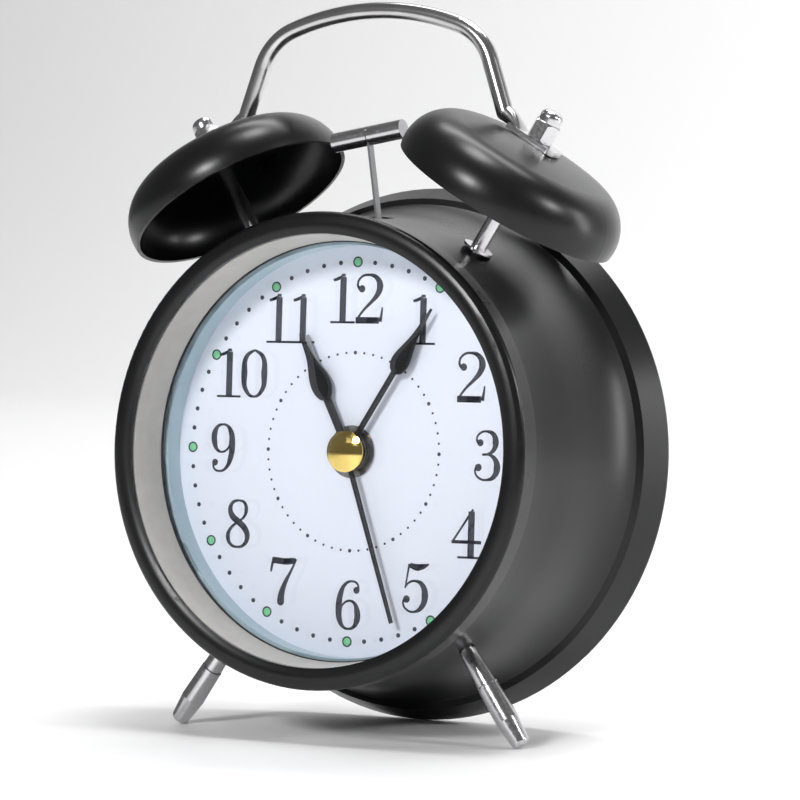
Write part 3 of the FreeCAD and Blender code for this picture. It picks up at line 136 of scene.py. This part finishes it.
# ---- Movement housing, its cover and the plastic gears
# The housing and its cover are injection moulded in black ABS, with a spark-eroded grain. The wheels are
# natural acetal, slightly waxy and off-white, and small enough to come off the mould with no grain.
black_abs, tree, shader, place = finish("black_abs_moulded", roughness=0.5, IOR=1.53)
grain = add(tree, "ShaderNodeTexNoise", {"Vector": place, "Scale": per_mm(0.45), "Detail": 4.0})
grain_bump = add(tree, "ShaderNodeBump", {"Height": grain.outputs["Fac"], "Strength": 0.35,
                                          "Distance": 0.06 * MM})
tone = add(tree, "ShaderNodeValToRGB", {"Fac": grain.outputs["Fac"]})
tone.color_ramp.elements[0].color = linear("#161617")
tone.color_ramp.elements[1].color = linear("#212123")
tree.links.new(tone.outputs["Color"], shader.inputs["Base Color"])
tree.links.new(grain_bump.outputs["Normal"], shader.inputs["Normal"])
coat(black_abs, "movement_housing", "movement_cover", "rear_cover", "battery_cover", "alarm_switch",
     "light_button", "light_switch", "time_knob", "alarm_knob")

acetal, tree, shader, place = finish("natural_acetal_moulded", roughness=0.38, IOR=1.48)
flow = add(tree, "ShaderNodeTexNoise", {"Vector": place, "Scale": per_mm(3.0), "Detail": 2.0})
tone = add(tree, "ShaderNodeValToRGB", {"Fac": flow.outputs["Fac"]})
tone.color_ramp.elements[0].color = linear("#E0DAC9")
tone.color_ramp.elements[1].color = linear("#EDE9DC")
tree.links.new(tone.outputs["Color"], shader.inputs["Base Color"])
coat(acetal, "second_wheel", "third_wheel", "centre_wheel", "cannon_pinion", "motion_wheel",
     "hour_wheel", "alarm_wheel", "step_wheel", "time_setting_arbor", "alarm_setting_arbor",
     "hammer_lever", "ringer_gear", "motor_pinion")


# ---- Stepping motor, circuit board and contacts
# A stack of silicon steel with an enamelled copper winding turns a sintered magnet. The board is glass
# epoxy under green solder mask, and the crystal and the alarm contact are bright metal.
silicon_steel, tree, shader, place = finish("silicon_steel_blanked", metallic=1.0, roughness=0.42)
rolled = add(tree, "ShaderNodeTexNoise", {"Vector": place, "Scale": per_mm(0.5), "Detail": 3.0})
tone = add(tree, "ShaderNodeValToRGB", {"Fac": rolled.outputs["Fac"]})
tone.color_ramp.elements[0].color = linear("#7E8184")
tone.color_ramp.elements[1].color = linear("#9B9EA0")
tree.links.new(tone.outputs["Color"], shader.inputs["Base Color"])
coat(silicon_steel, "stator", "quartz_crystal", "alarm_contact", "battery_contacts")

copper_wire, tree, shader, place = finish("enamelled_copper_winding", metallic=0.8, roughness=0.3)
# the real wire is 0.05 mm thick, too fine to show, so its turns are drawn this many millimetres apart
turn_pitch = 1.5708
wave_radians_per_unit = 20
turns = add(tree, "ShaderNodeTexWave", {
    "Vector": place, "Scale": 2 * math.pi * per_mm(turn_pitch) / wave_radians_per_unit, "Distortion": 0.3,
}, bands_direction="X")
tone = add(tree, "ShaderNodeValToRGB", {"Fac": turns.outputs["Fac"]})
tone.color_ramp.elements[0].color = linear("#7A3416")
tone.color_ramp.elements[1].color = linear("#C46F3A")
turns_bump = add(tree, "ShaderNodeBump", {"Height": turns.outputs["Fac"], "Strength": 0.5,
                                          "Distance": 0.1 * MM})
tree.links.new(tone.outputs["Color"], shader.inputs["Base Color"])
tree.links.new(turns_bump.outputs["Normal"], shader.inputs["Normal"])
coat(copper_wire, "coil")

solder_mask, tree, shader, place = finish("green_solder_mask", roughness=0.3, IOR=1.5)
tracks = add(tree, "ShaderNodeTexBrick", {"Vector": place, "Scale": per_mm(4.0), "Mortar Size": 0.08,
                                          "Color1": linear("#1D6A38"), "Color2": linear("#1A5F33"),
                                          "Mortar": linear("#3D8F52")})
tree.links.new(tracks.outputs["Color"], shader.inputs["Base Color"])
coat(solder_mask, "circuit_board")

ferrite, tree, shader, place = finish("sintered_magnet", metallic=0.6, roughness=0.55)
grit = add(tree, "ShaderNodeTexNoise", {"Vector": place, "Scale": per_mm(0.2), "Detail": 4.0})
tone = add(tree, "ShaderNodeValToRGB", {"Fac": grit.outputs["Fac"]})
tone.color_ramp.elements[0].color = linear("#2B2C2E")
tone.color_ramp.elements[1].color = linear("#4A4B4D")
tree.links.new(tone.outputs["Color"], shader.inputs["Base Color"])
coat(ferrite, "stepper_rotor")


# ---- Dial
# The dial is a disc of aluminium sheet with a satin white ground, faintly blue, which is rolled on and
# leaves a very fine tooth.
satin_white, tree, shader, place = finish("satin_white_dial_lacquer", roughness=0.42, IOR=1.5)
tooth = add(tree, "ShaderNodeTexNoise", {"Vector": place, "Scale": per_mm(0.35), "Detail": 3.0})
drift = add(tree, "ShaderNodeTexNoise", {"Vector": place, "Scale": per_mm(60.0), "Detail": 1.0})
tone = add(tree, "ShaderNodeValToRGB", {"Fac": drift.outputs["Fac"]})
tone.color_ramp.elements[0].color = linear("#DDE3F2")
tone.color_ramp.elements[1].color = linear("#E8ECF7")
tooth_bump = add(tree, "ShaderNodeBump", {"Height": tooth.outputs["Fac"], "Strength": 0.08,
                                          "Distance": 0.02 * MM})
tree.links.new(tone.outputs["Color"], shader.inputs["Base Color"])
tree.links.new(tooth_bump.outputs["Normal"], shader.inputs["Normal"])
coat(satin_white, "dial")


# ---- Printing on the dial
# Numbers, minute dots and an inner ring of dots are pad printed in thick blue-black ink, which stands
# about a fiftieth of a millimetre proud. Everything is drawn flat, then laid on the dial's front.
dial_low, dial_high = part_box("dial")
case_axis = Vector(next(j["axis"] for j in frame["joints"] if j["child"] == "second_hand"))
dial_up = Vector((1, 0, 0)).cross(case_axis)
dial_thickness = 0.6 * MM
dial_front = (dial_low + dial_high) / 2 - case_axis * dial_thickness / 2
on_dial = Matrix.Translation(dial_front) @ Matrix((
    (1, dial_up.x, -case_axis.x), (0, dial_up.y, -case_axis.y), (0, dial_up.z, -case_axis.z))).to_4x4()
ink_depth = 0.02 * MM
track_radius = 41.4 * MM
inner_track_radius = 21.6 * MM
number_radius = 33.4 * MM
number_height = 10.9 * MM
widest_stroke = 0.15           # of the number's height

blue_black_ink, tree, shader, place = finish("blue_black_pad_ink", roughness=0.6, IOR=1.5,
                                             Specular_IOR_Level=0.2)
patch = add(tree, "ShaderNodeTexNoise", {"Vector": place, "Scale": per_mm(1.2), "Detail": 4.0})
tone = add(tree, "ShaderNodeValToRGB", {"Fac": patch.outputs["Fac"]})
tone.color_ramp.elements[0].color = linear("#0A0B14")
tone.color_ramp.elements[1].color = linear("#171A2A")
tree.links.new(tone.outputs["Color"], shader.inputs["Base Color"])

# Each digit is a set of pen strokes in a box one unit high: across, up and width of the stroke at each
# point. One point alone is a round dot.
digit_strokes = {
    "0": [[(0.313, 0.975, .045), (0.12, 0.84, .10), (0.075, 0.5, .15), (0.12, 0.16, .10),
           (0.313, 0.025, .045), (0.506, 0.16, .10), (0.551, 0.5, .15), (0.506, 0.84, .10),
           (0.313, 0.975, .045)]],
    "1": [[(0.285, 0.02, .145), (0.285, 0.93, .145)], [(0.05, 0.865, .055), (0.17, 0.90, .07),
          (0.30, 0.985, .03)], [(0.0, 0.022, .044), (0.57, 0.022, .044)],
          [(0.235, 0.965, .06), (0.33, 0.965, .06)]],
    "2": [[(0.15, 0.695, .15)], [(0.095, 0.68, .06), (0.05, 0.79, .05), (0.13, 0.93, .05),
          (0.31, 0.975, .05), (0.48, 0.92, .10), (0.565, 0.76, .15), (0.52, 0.60, .12),
          (0.38, 0.44, .075), (0.20, 0.27, .055), (0.07, 0.10, .05), (0.035, 0.02, .04)],
          [(0.02, 0.065, .13), (0.56, 0.065, .13)], [(0.585, 0.04, .08), (0.615, 0.19, .055),
          (0.63, 0.33, .035)]],
    "3": [[(0.135, 0.75, .14)], [(0.085, 0.745, .055), (0.055, 0.83, .045), (0.13, 0.94, .045),
          (0.27, 0.976, .045), (0.42, 0.92, .10), (0.475, 0.77, .14), (0.43, 0.61, .09),
          (0.30, 0.528, .045), (0.18, 0.518, .045)], [(0.18, 0.518, .045), (0.33, 0.52, .045),
          (0.47, 0.43, .10), (0.52, 0.26, .15), (0.45, 0.09, .10), (0.29, 0.024, .045),
          (0.12, 0.06, .045), (0.035, 0.17, .045), (0.05, 0.26, .05)], [(0.105, 0.265, .15)]],
    "4": [[(0.435, 0.02, .145), (0.435, 0.93, .145)], [(0.47, 0.975, .05), (0.025, 0.33, .045)],
          [(0.0, 0.325, .068), (0.665, 0.325, .068)], [(0.14, 0.022, .044), (0.665, 0.022, .044)]],
    "5": [[(0.17, 0.945, .10), (0.33, 0.905, .14), (0.46, 0.925, .11), (0.60, 0.975, .03)],
          [(0.155, 0.97, .05), (0.075, 0.50, .035)], [(0.06, 0.49, .035), (0.16, 0.60, .045),
          (0.31, 0.635, .05), (0.46, 0.56, .11), (0.525, 0.36, .15), (0.46, 0.13, .11),
          (0.29, 0.024, .045), (0.12, 0.06, .045), (0.035, 0.17, .045), (0.05, 0.26, .05)],
          [(0.11, 0.27, .15)]],
    "6": [[(0.485, 0.80, .14)], [(0.53, 0.82, .055), (0.50, 0.93, .045), (0.36, 0.976, .045),
          (0.22, 0.91, .07), (0.115, 0.70, .125), (0.085, 0.42, .15), (0.115, 0.18, .12),
          (0.22, 0.045, .06), (0.32, 0.024, .045), (0.43, 0.06, .07), (0.51, 0.20, .135),
          (0.51, 0.38, .135), (0.44, 0.54, .07), (0.33, 0.585, .045), (0.20, 0.53, .045),
          (0.13, 0.42, .04)]],
    "7": [[(0.07, 0.915, .13), (0.52, 0.915, .13), (0.60, 0.955, .05)], [(0.075, 0.975, .05),
          (0.045, 0.82, .06), (0.02, 0.68, .045)], [(0.615, 0.95, .04), (0.50, 0.72, .055),
          (0.36, 0.46, .10), (0.28, 0.22, .15), (0.27, 0.085, .165)], [(0.27, 0.085, .165)]],
    "8": [[(0.31, 0.976, .045), (0.17, 0.93, .07), (0.105, 0.79, .11), (0.17, 0.64, .135),
           (0.32, 0.53, .135), (0.47, 0.40, .135), (0.53, 0.24, .12), (0.46, 0.08, .075),
           (0.30, 0.024, .045), (0.13, 0.08, .07), (0.065, 0.24, .10), (0.12, 0.39, .07),
           (0.29, 0.53, .045), (0.44, 0.64, .055), (0.49, 0.79, .09), (0.44, 0.93, .065),
           (0.31, 0.976, .045)]],
}
digit_strokes["9"] = [[(0.595 - x, 1 - y, w) for x, y, w in stroke] for stroke in digit_strokes["6"]]
digit_width = {"0": 0.626, "1": 0.57, "2": 0.645, "3": 0.595, "4": 0.67, "5": 0.605, "6": 0.595,
               "7": 0.64, "8": 0.60, "9": 0.595}


def ink_dot(ink, x, y, radius, sides=24):
    """A flat round of ink in the dial's plane."""
    place_it = Matrix.Translation((x, y, ink_depth / 2))
    bmesh.ops.create_cone(ink, cap_ends=True, segments=sides, radius1=radius, radius2=radius,
                          depth=ink_depth, matrix=place_it)


def pen_stroke(ink, points, left, bottom, height):
    """A stroke of changing width: a round curve through the points, pressed flat."""
    curve = bpy.data.curves.new("stroke", "CURVE")
    curve.dimensions = "3D"
    curve.bevel_depth = 1.0
    curve.bevel_resolution = 1
    curve.resolution_u = 6
    curve.use_fill_caps = True
    line = curve.splines.new("BEZIER")
    line.bezier_points.add(len(points) - 1)
    for knot, (across, up, width) in zip(line.bezier_points, points):
        knot.co = (left + across * height, bottom + up * height, 0)
        knot.handle_left_type = knot.handle_right_type = "AUTO"
        knot.radius = width * height / 2
    holder = bpy.data.objects.new("stroke", curve)
    bpy.context.scene.collection.objects.link(holder)
    bpy.context.view_layer.update()
    pressed = bpy.data.meshes.new_from_object(holder)
    flat = Matrix.Diagonal((1, 1, ink_depth / (widest_stroke * height), 1))
    pressed.transform(Matrix.Translation((0, 0, ink_depth / 2)) @ flat)
    ink.from_mesh(pressed)
    bpy.data.objects.remove(holder)
    bpy.data.curves.remove(curve)
    bpy.data.meshes.remove(pressed)


def printed(name, ink, material):
    """Lays a drawing on the dial as a piece that stays with the case."""
    bmesh.ops.transform(ink, matrix=on_dial, verts=ink.verts)
    bmesh.ops.recalc_face_normals(ink, faces=ink.faces)
    mesh = bpy.data.meshes.new(name)
    ink.to_mesh(mesh)
    ink.free()
    mesh.materials.append(material)
    piece = bpy.data.objects.new(name, mesh)
    bpy.context.scene.collection.objects.link(piece)
    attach(piece, "case")
    return piece


def round_the_dial(radius, step, steps):
    """Place in the dial's plane, counted clockwise from the top."""
    turn = 2 * math.pi * step / steps
    return radius * math.sin(turn), radius * math.cos(turn)


numbers = bmesh.new()
for hour in range(1, 13):
    digits = str(hour)
    pitch = [digit_width[d] * number_height for d in digits]
    x, y = round_the_dial(number_radius, hour, 12)
    left = x - sum(pitch) / 2
    for digit, wide in zip(digits, pitch):
        for stroke in digit_strokes[digit]:
            if len(stroke) == 1:
                across, up, width = stroke[0]
                ink_dot(numbers, left + across * number_height, y + (up - 0.5) * number_height,
                        width * number_height / 2)
            else:
                pen_stroke(numbers, stroke, left, y - number_height / 2, number_height)
        left += wide
printed("dial_numbers", numbers, blue_black_ink)

hour_ring_radius, minute_dot_radius = 1.2 * MM, 0.5 * MM
inner_hour_dot_radius, inner_minute_dot_radius = 0.42 * MM, 0.27 * MM
dots = bmesh.new()
for minute in range(60):
    on_the_hour = minute % 5 == 0
    ink_dot(dots, *round_the_dial(track_radius, minute, 60),
            hour_ring_radius if on_the_hour else minute_dot_radius)
    ink_dot(dots, *round_the_dial(inner_track_radius, minute, 60),
            inner_hour_dot_radius if on_the_hour else inner_minute_dot_radius)
printed("dial_dots", dots, blue_black_ink)


# ---- Luminous spots
# A bead of green luminous paint is dropped by hand inside each hour's ring, so each one is slightly
# domed and pale where it is thick.
lume_paint, tree, shader, place = finish("green_luminous_paint", roughness=0.6, IOR=1.5)
grains = add(tree, "ShaderNodeTexNoise", {"Vector": place, "Scale": per_mm(0.4), "Detail": 5.0})
tone = add(tree, "ShaderNodeValToRGB", {"Fac": grains.outputs["Fac"]})
tone.color_ramp.elements[0].color = linear("#4FB877")
tone.color_ramp.elements[1].color = linear("#8FDFA6")
tree.links.new(tone.outputs["Color"], shader.inputs["Base Color"])
bead_radius = 0.88 * MM
bead_doming = 0.12             # height of the dome over its radius
spots = bmesh.new()
for hour in range(12):
    x, y = round_the_dial(track_radius, hour, 12)
    bead = bmesh.ops.create_uvsphere(spots, u_segments=20, v_segments=8, radius=bead_radius)
    bmesh.ops.transform(spots, verts=bead["verts"], matrix=Matrix.Translation((x, y, ink_depth))
                        @ Matrix.Diagonal((1, 1, bead_doming, 1)))
printed("luminous_spots", spots, lume_paint)
for name in ("dial_numbers", "luminous_spots"):
    for face in bpy.data.objects[name].data.polygons:
        face.use_smooth = True


# ---- Hands and the hub cap
# The hands are blanked from thin brass sheet and lacquered black. The cap over their hub is turned from
# brass and polished, and left bright.
hand_lacquer, tree, shader, place = finish("black_lacquer_on_brass", roughness=0.45, IOR=1.5,
                                           Specular_IOR_Level=0.25)
brush = add(tree, "ShaderNodeTexNoise", {"Vector": place, "Scale": per_mm(0.8), "Detail": 3.0})
tone = add(tree, "ShaderNodeValToRGB", {"Fac": brush.outputs["Fac"]})
tone.color_ramp.elements[0].color = linear("#08080A")
tone.color_ramp.elements[1].color = linear("#101012")
tree.links.new(tone.outputs["Color"], shader.inputs["Base Color"])
coat(hand_lacquer, "second_hand", "minute_hand", "hour_hand")

grey_lacquer, tree, shader, place = finish("grey_lacquer_alarm_hand", roughness=0.4, IOR=1.5)
brush = add(tree, "ShaderNodeTexNoise", {"Vector": place, "Scale": per_mm(0.8), "Detail": 3.0})
tone = add(tree, "ShaderNodeValToRGB", {"Fac": brush.outputs["Fac"]})
tone.color_ramp.elements[0].color = linear("#7C8086")
tone.color_ramp.elements[1].color = linear("#989CA2")
tree.links.new(tone.outputs["Color"], shader.inputs["Base Color"])
coat(grey_lacquer, "alarm_hand")

brass, tree, shader, place = finish("polished_brass", metallic=1.0, roughness=0.07)
swirl = add(tree, "ShaderNodeTexNoise", {"Vector": place, "Scale": per_mm(1.5), "Detail": 2.0})
tone = add(tree, "ShaderNodeValToRGB", {"Fac": swirl.outputs["Fac"]})
tone.color_ramp.elements[0].color = linear("#D9B95E")
tone.color_ramp.elements[1].color = linear("#EBD58A")
tree.links.new(tone.outputs["Color"], shader.inputs["Base Color"])
coat(brass, "hub_cap")


# ---- Spacer ring and lamp
# A ring of pale blue translucent acrylic holds the lens off the dial and spreads the lamp's light. The
# lamp is a clear moulded bulb beside it.
blue_acrylic, tree, shader, place = finish("pale_blue_acrylic", roughness=0.28, IOR=1.49)
pour = add(tree, "ShaderNodeTexNoise", {"Vector": place, "Scale": per_mm(9.0), "Detail": 2.0})
tone = add(tree, "ShaderNodeValToRGB", {"Fac": pour.outputs["Fac"]})
tone.color_ramp.elements[0].color = linear("#A9C2CE")
tone.color_ramp.elements[1].color = linear("#C2D6DF")
tree.links.new(tone.outputs["Color"], shader.inputs["Base Color"])
coat(blue_acrylic, "dial_spacer")

clear_bulb, tree, shader, place = finish("clear_moulded_bulb", roughness=0.1, IOR=1.5,
                                         Transmission_Weight=0.7)
haze = add(tree, "ShaderNodeTexNoise", {"Vector": place, "Scale": per_mm(0.6), "Detail": 2.0})
tone = add(tree, "ShaderNodeValToRGB", {"Fac": haze.outputs["Fac"]})
tone.color_ramp.elements[0].color = linear("#E6E8E8")
tone.color_ramp.elements[1].color = linear("#F4F5F5")
tree.links.new(tone.outputs["Color"], shader.inputs["Base Color"])
coat(clear_bulb, "lamp")


# ---- Lens and its gasket
# The lens is a flat disc cut from clear sheet glass. A black rubber ring presses it back on the spacer.
sheet_glass, tree, shader, place = finish("clear_sheet_glass", roughness=0.02, IOR=1.5,
                                          Transmission_Weight=1.0, Alpha=0.05)
smear = add(tree, "ShaderNodeTexNoise", {"Vector": place, "Scale": per_mm(14.0), "Detail": 3.0})
soft = add(tree, "ShaderNodeMapRange", {"Value": smear.outputs["Fac"], "From Min": 0.3, "From Max": 0.7,
                                        "To Min": 0.01, "To Max": 0.05})
tree.links.new(soft.outputs["Result"], shader.inputs["Roughness"])
coat(sheet_glass, "lens")

black_rubber, tree, shader, place = finish("black_rubber_ring", roughness=0.75, IOR=1.52)
bloom = add(tree, "ShaderNodeTexNoise", {"Vector": place, "Scale": per_mm(2.0), "Detail": 3.0})
tone = add(tree, "ShaderNodeValToRGB", {"Fac": bloom.outputs["Fac"]})
tone.color_ramp.elements[0].color = linear("#17181A")
tone.color_ramp.elements[1].color = linear("#232528")
tree.links.new(tone.outputs["Color"], shader.inputs["Base Color"])
coat(black_rubber, "lens_gasket")


# ---- Liner and front bezel
# The liner is spun aluminium with a satin light grey lacquer that is faintly clouded. The bezel is spun
# steel in the same stoved black as the case.
satin_grey, tree, shader, place = finish("satin_grey_lacquer_spun", roughness=0.42, IOR=1.5)
clouding = add(tree, "ShaderNodeTexNoise", {"Vector": place, "Scale": per_mm(4.0), "Detail": 4.0})
tone = add(tree, "ShaderNodeValToRGB", {"Fac": clouding.outputs["Fac"]})
tone.color_ramp.elements[0].color = linear("#B5B1AB")
tone.color_ramp.elements[1].color = linear("#C9C6C0")
tree.links.new(tone.outputs["Color"], shader.inputs["Base Color"])
coat(satin_grey, "bezel_liner")
coat(black_paint, "front_bezel")


# ---- Bells, their posts and washers
# Each bell is pressed from steel sheet and stoved black inside and out. The posts and washers are turned
# steel with bright nickel plate.
coat(black_paint, "bell_left", "bell_right")
coat(nickel, "bell_posts", "post_washers")


# ---- Handle and acorn nuts
# The handle is drawn steel rod, bent and hammered flat at its ends, then nickel plated, so its draw marks
# run along it. The tall acorn nuts are turned from hexagon bar and plated with it.
drawn_nickel, tree, shader, place = finish("nickel_plate_on_drawn_rod", metallic=1.0, roughness=0.2)
along = add(tree, "ShaderNodeMapping", {"Vector": place, "Scale": (0.06, 1.0, 0.06)})
marks = add(tree, "ShaderNodeTexNoise", {"Vector": along.outputs["Vector"], "Scale": per_mm(0.35),
                                         "Detail": 3.0})
tone = add(tree, "ShaderNodeValToRGB", {"Fac": marks.outputs["Fac"]})
tone.color_ramp.elements[0].color = linear("#A8A7A9")
tone.color_ramp.elements[1].color = linear("#D2D1D1")
marks_bump = add(tree, "ShaderNodeBump", {"Height": marks.outputs["Fac"], "Strength": 0.15,
                                          "Distance": 0.03 * MM})
tree.links.new(tone.outputs["Color"], shader.inputs["Base Color"])
tree.links.new(marks_bump.outputs["Normal"], shader.inputs["Normal"])
coat(drawn_nickel, "handle")
coat(nickel, "acorn_nuts")


# ---- Hammer
# The head is a plated steel cylinder with a seam round its middle, crimped on a thin spring steel arm.
spring_steel, tree, shader, place = finish("spring_steel_strip", metallic=1.0, roughness=0.3)
rolling = add(tree, "ShaderNodeMapping", {"Vector": place, "Scale": (1.0, 1.0, 0.08)})
lines = add(tree, "ShaderNodeTexNoise", {"Vector": rolling.outputs["Vector"], "Scale": per_mm(0.3)})
tone = add(tree, "ShaderNodeValToRGB", {"Fac": lines.outputs["Fac"]})
tone.color_ramp.elements[0].color = linear("#8E9093")
tone.color_ramp.elements[1].color = linear("#B5B6B8")
tree.links.new(tone.outputs["Color"], shader.inputs["Base Color"])
coat(nickel, "hammer_head")
coat(spring_steel, "hammer_arm")


# ---- Floor, light and camera
# A pale sheet runs under the clock and curves up behind it. Four soft boxes stand round the clock in a
# dim room, so that black paint stays black, and a fifth washes the sheet.
pale_sheet, tree, shader, place = finish("plain_pale_paper", roughness=0.45, IOR=1.45)
shader.inputs["Base Color"].default_value = linear("#F6F6F6")
paper = bmesh.new()
sheet_half, sheet_back, bend_radius, sheet_height = 3.0, 1.6, 0.6, 2.4
front_corners = [paper.verts.new((x, -sheet_half, 0)) for x in (-sheet_half, sheet_half)]
front_edge = paper.edges.new(front_corners)
run = bmesh.ops.extrude_edge_only(paper, edges=[front_edge])["geom"]
bmesh.ops.translate(paper, vec=(0, sheet_half + sheet_back, 0),
                    verts=[v for v in run if isinstance(v, bmesh.types.BMVert)])
bend = bmesh.ops.spin(paper, geom=[e for e in run if isinstance(e, bmesh.types.BMEdge)],
                      cent=(0, sheet_back, bend_radius), axis=(1, 0, 0), angle=math.radians(90), steps=24)
last = [e for e in bend["geom_last"] if isinstance(e, bmesh.types.BMEdge)]
wall = bmesh.ops.extrude_edge_only(paper, edges=last)["geom"]
bmesh.ops.translate(paper, vec=(0, 0, sheet_height),
                    verts=[v for v in wall if isinstance(v, bmesh.types.BMVert)])
paper_mesh = bpy.data.meshes.new("paper")
paper.to_mesh(paper_mesh)
paper.free()
paper_mesh.materials.append(pale_sheet)
for face in paper_mesh.polygons:
    face.use_smooth = True
backdrop = bpy.data.objects.new("backdrop", paper_mesh)
bpy.context.scene.collection.objects.link(backdrop)

world = bpy.data.worlds.new("soft_studio")
world.use_nodes = True
world.node_tree.nodes["Background"].inputs["Color"].default_value = linear("#FFFFFF")
world.node_tree.nodes["Background"].inputs["Strength"].default_value = 0.16
bpy.context.scene.world = world
bpy.context.scene.view_settings.view_transform = "Standard"


def softbox(name, stand, aim, width, height, power):
    """A rectangle of soft light, facing the point that it is aimed at."""
    lamp = bpy.data.lights.new(name, "AREA")
    lamp.shape = "RECTANGLE"
    lamp.size, lamp.size_y = width, height
    lamp.energy = power
    holder = bpy.data.objects.new(name, lamp)
    holder.location = stand
    holder.rotation_euler = (Vector(aim) - Vector(stand)).to_track_quat("-Z", "Y").to_euler()
    bpy.context.scene.collection.objects.link(holder)


clock_middle, clock_waist, sheet_behind = (0, 0, 0.08), (0, 0, 0.06), (0, 2.2, 0.4)
softbox("front_softbox", (-0.05, -0.94, 0.53), clock_middle, 0.22, 0.18, 6.5)
softbox("right_softbox", (0.97, 0.0, 0.52), clock_middle, 0.14, 0.14, 3)
softbox("top_softbox", (0.12, -0.05, 1.1), clock_middle, 0.3, 0.3, 5)
softbox("side_softbox", (0.84, 0.42, 0.22), clock_waist, 0.08, 0.5, 2.2)
softbox("sheet_softbox", (0, 0.9, 2.2), sheet_behind, 2.0, 0.6, 50)

lens_length, sensor_width = 162.0, 36.0
camera_place = Vector((398.5, -685.6, 102.2)) * MM
view_along = Vector((-0.4968, 0.8671, -0.0371)).normalized()
view_up = Vector((-0.019, 0.0318, 0.9993))
view_right = view_along.cross(view_up).normalized()
view_up = view_right.cross(view_along)
camera = bpy.data.cameras.new("camera")
camera.lens, camera.sensor_width = lens_length, sensor_width
camera_holder = bpy.data.objects.new("camera", camera)
camera_holder.matrix_world = Matrix.Translation(camera_place) @ Matrix((
    (view_right.x, view_up.x, -view_along.x), (view_right.y, view_up.y, -view_along.y),
    (view_right.z, view_up.z, -view_along.z))).to_4x4()
bpy.context.scene.collection.objects.link(camera_holder)
bpy.context.scene.camera = camera_holder
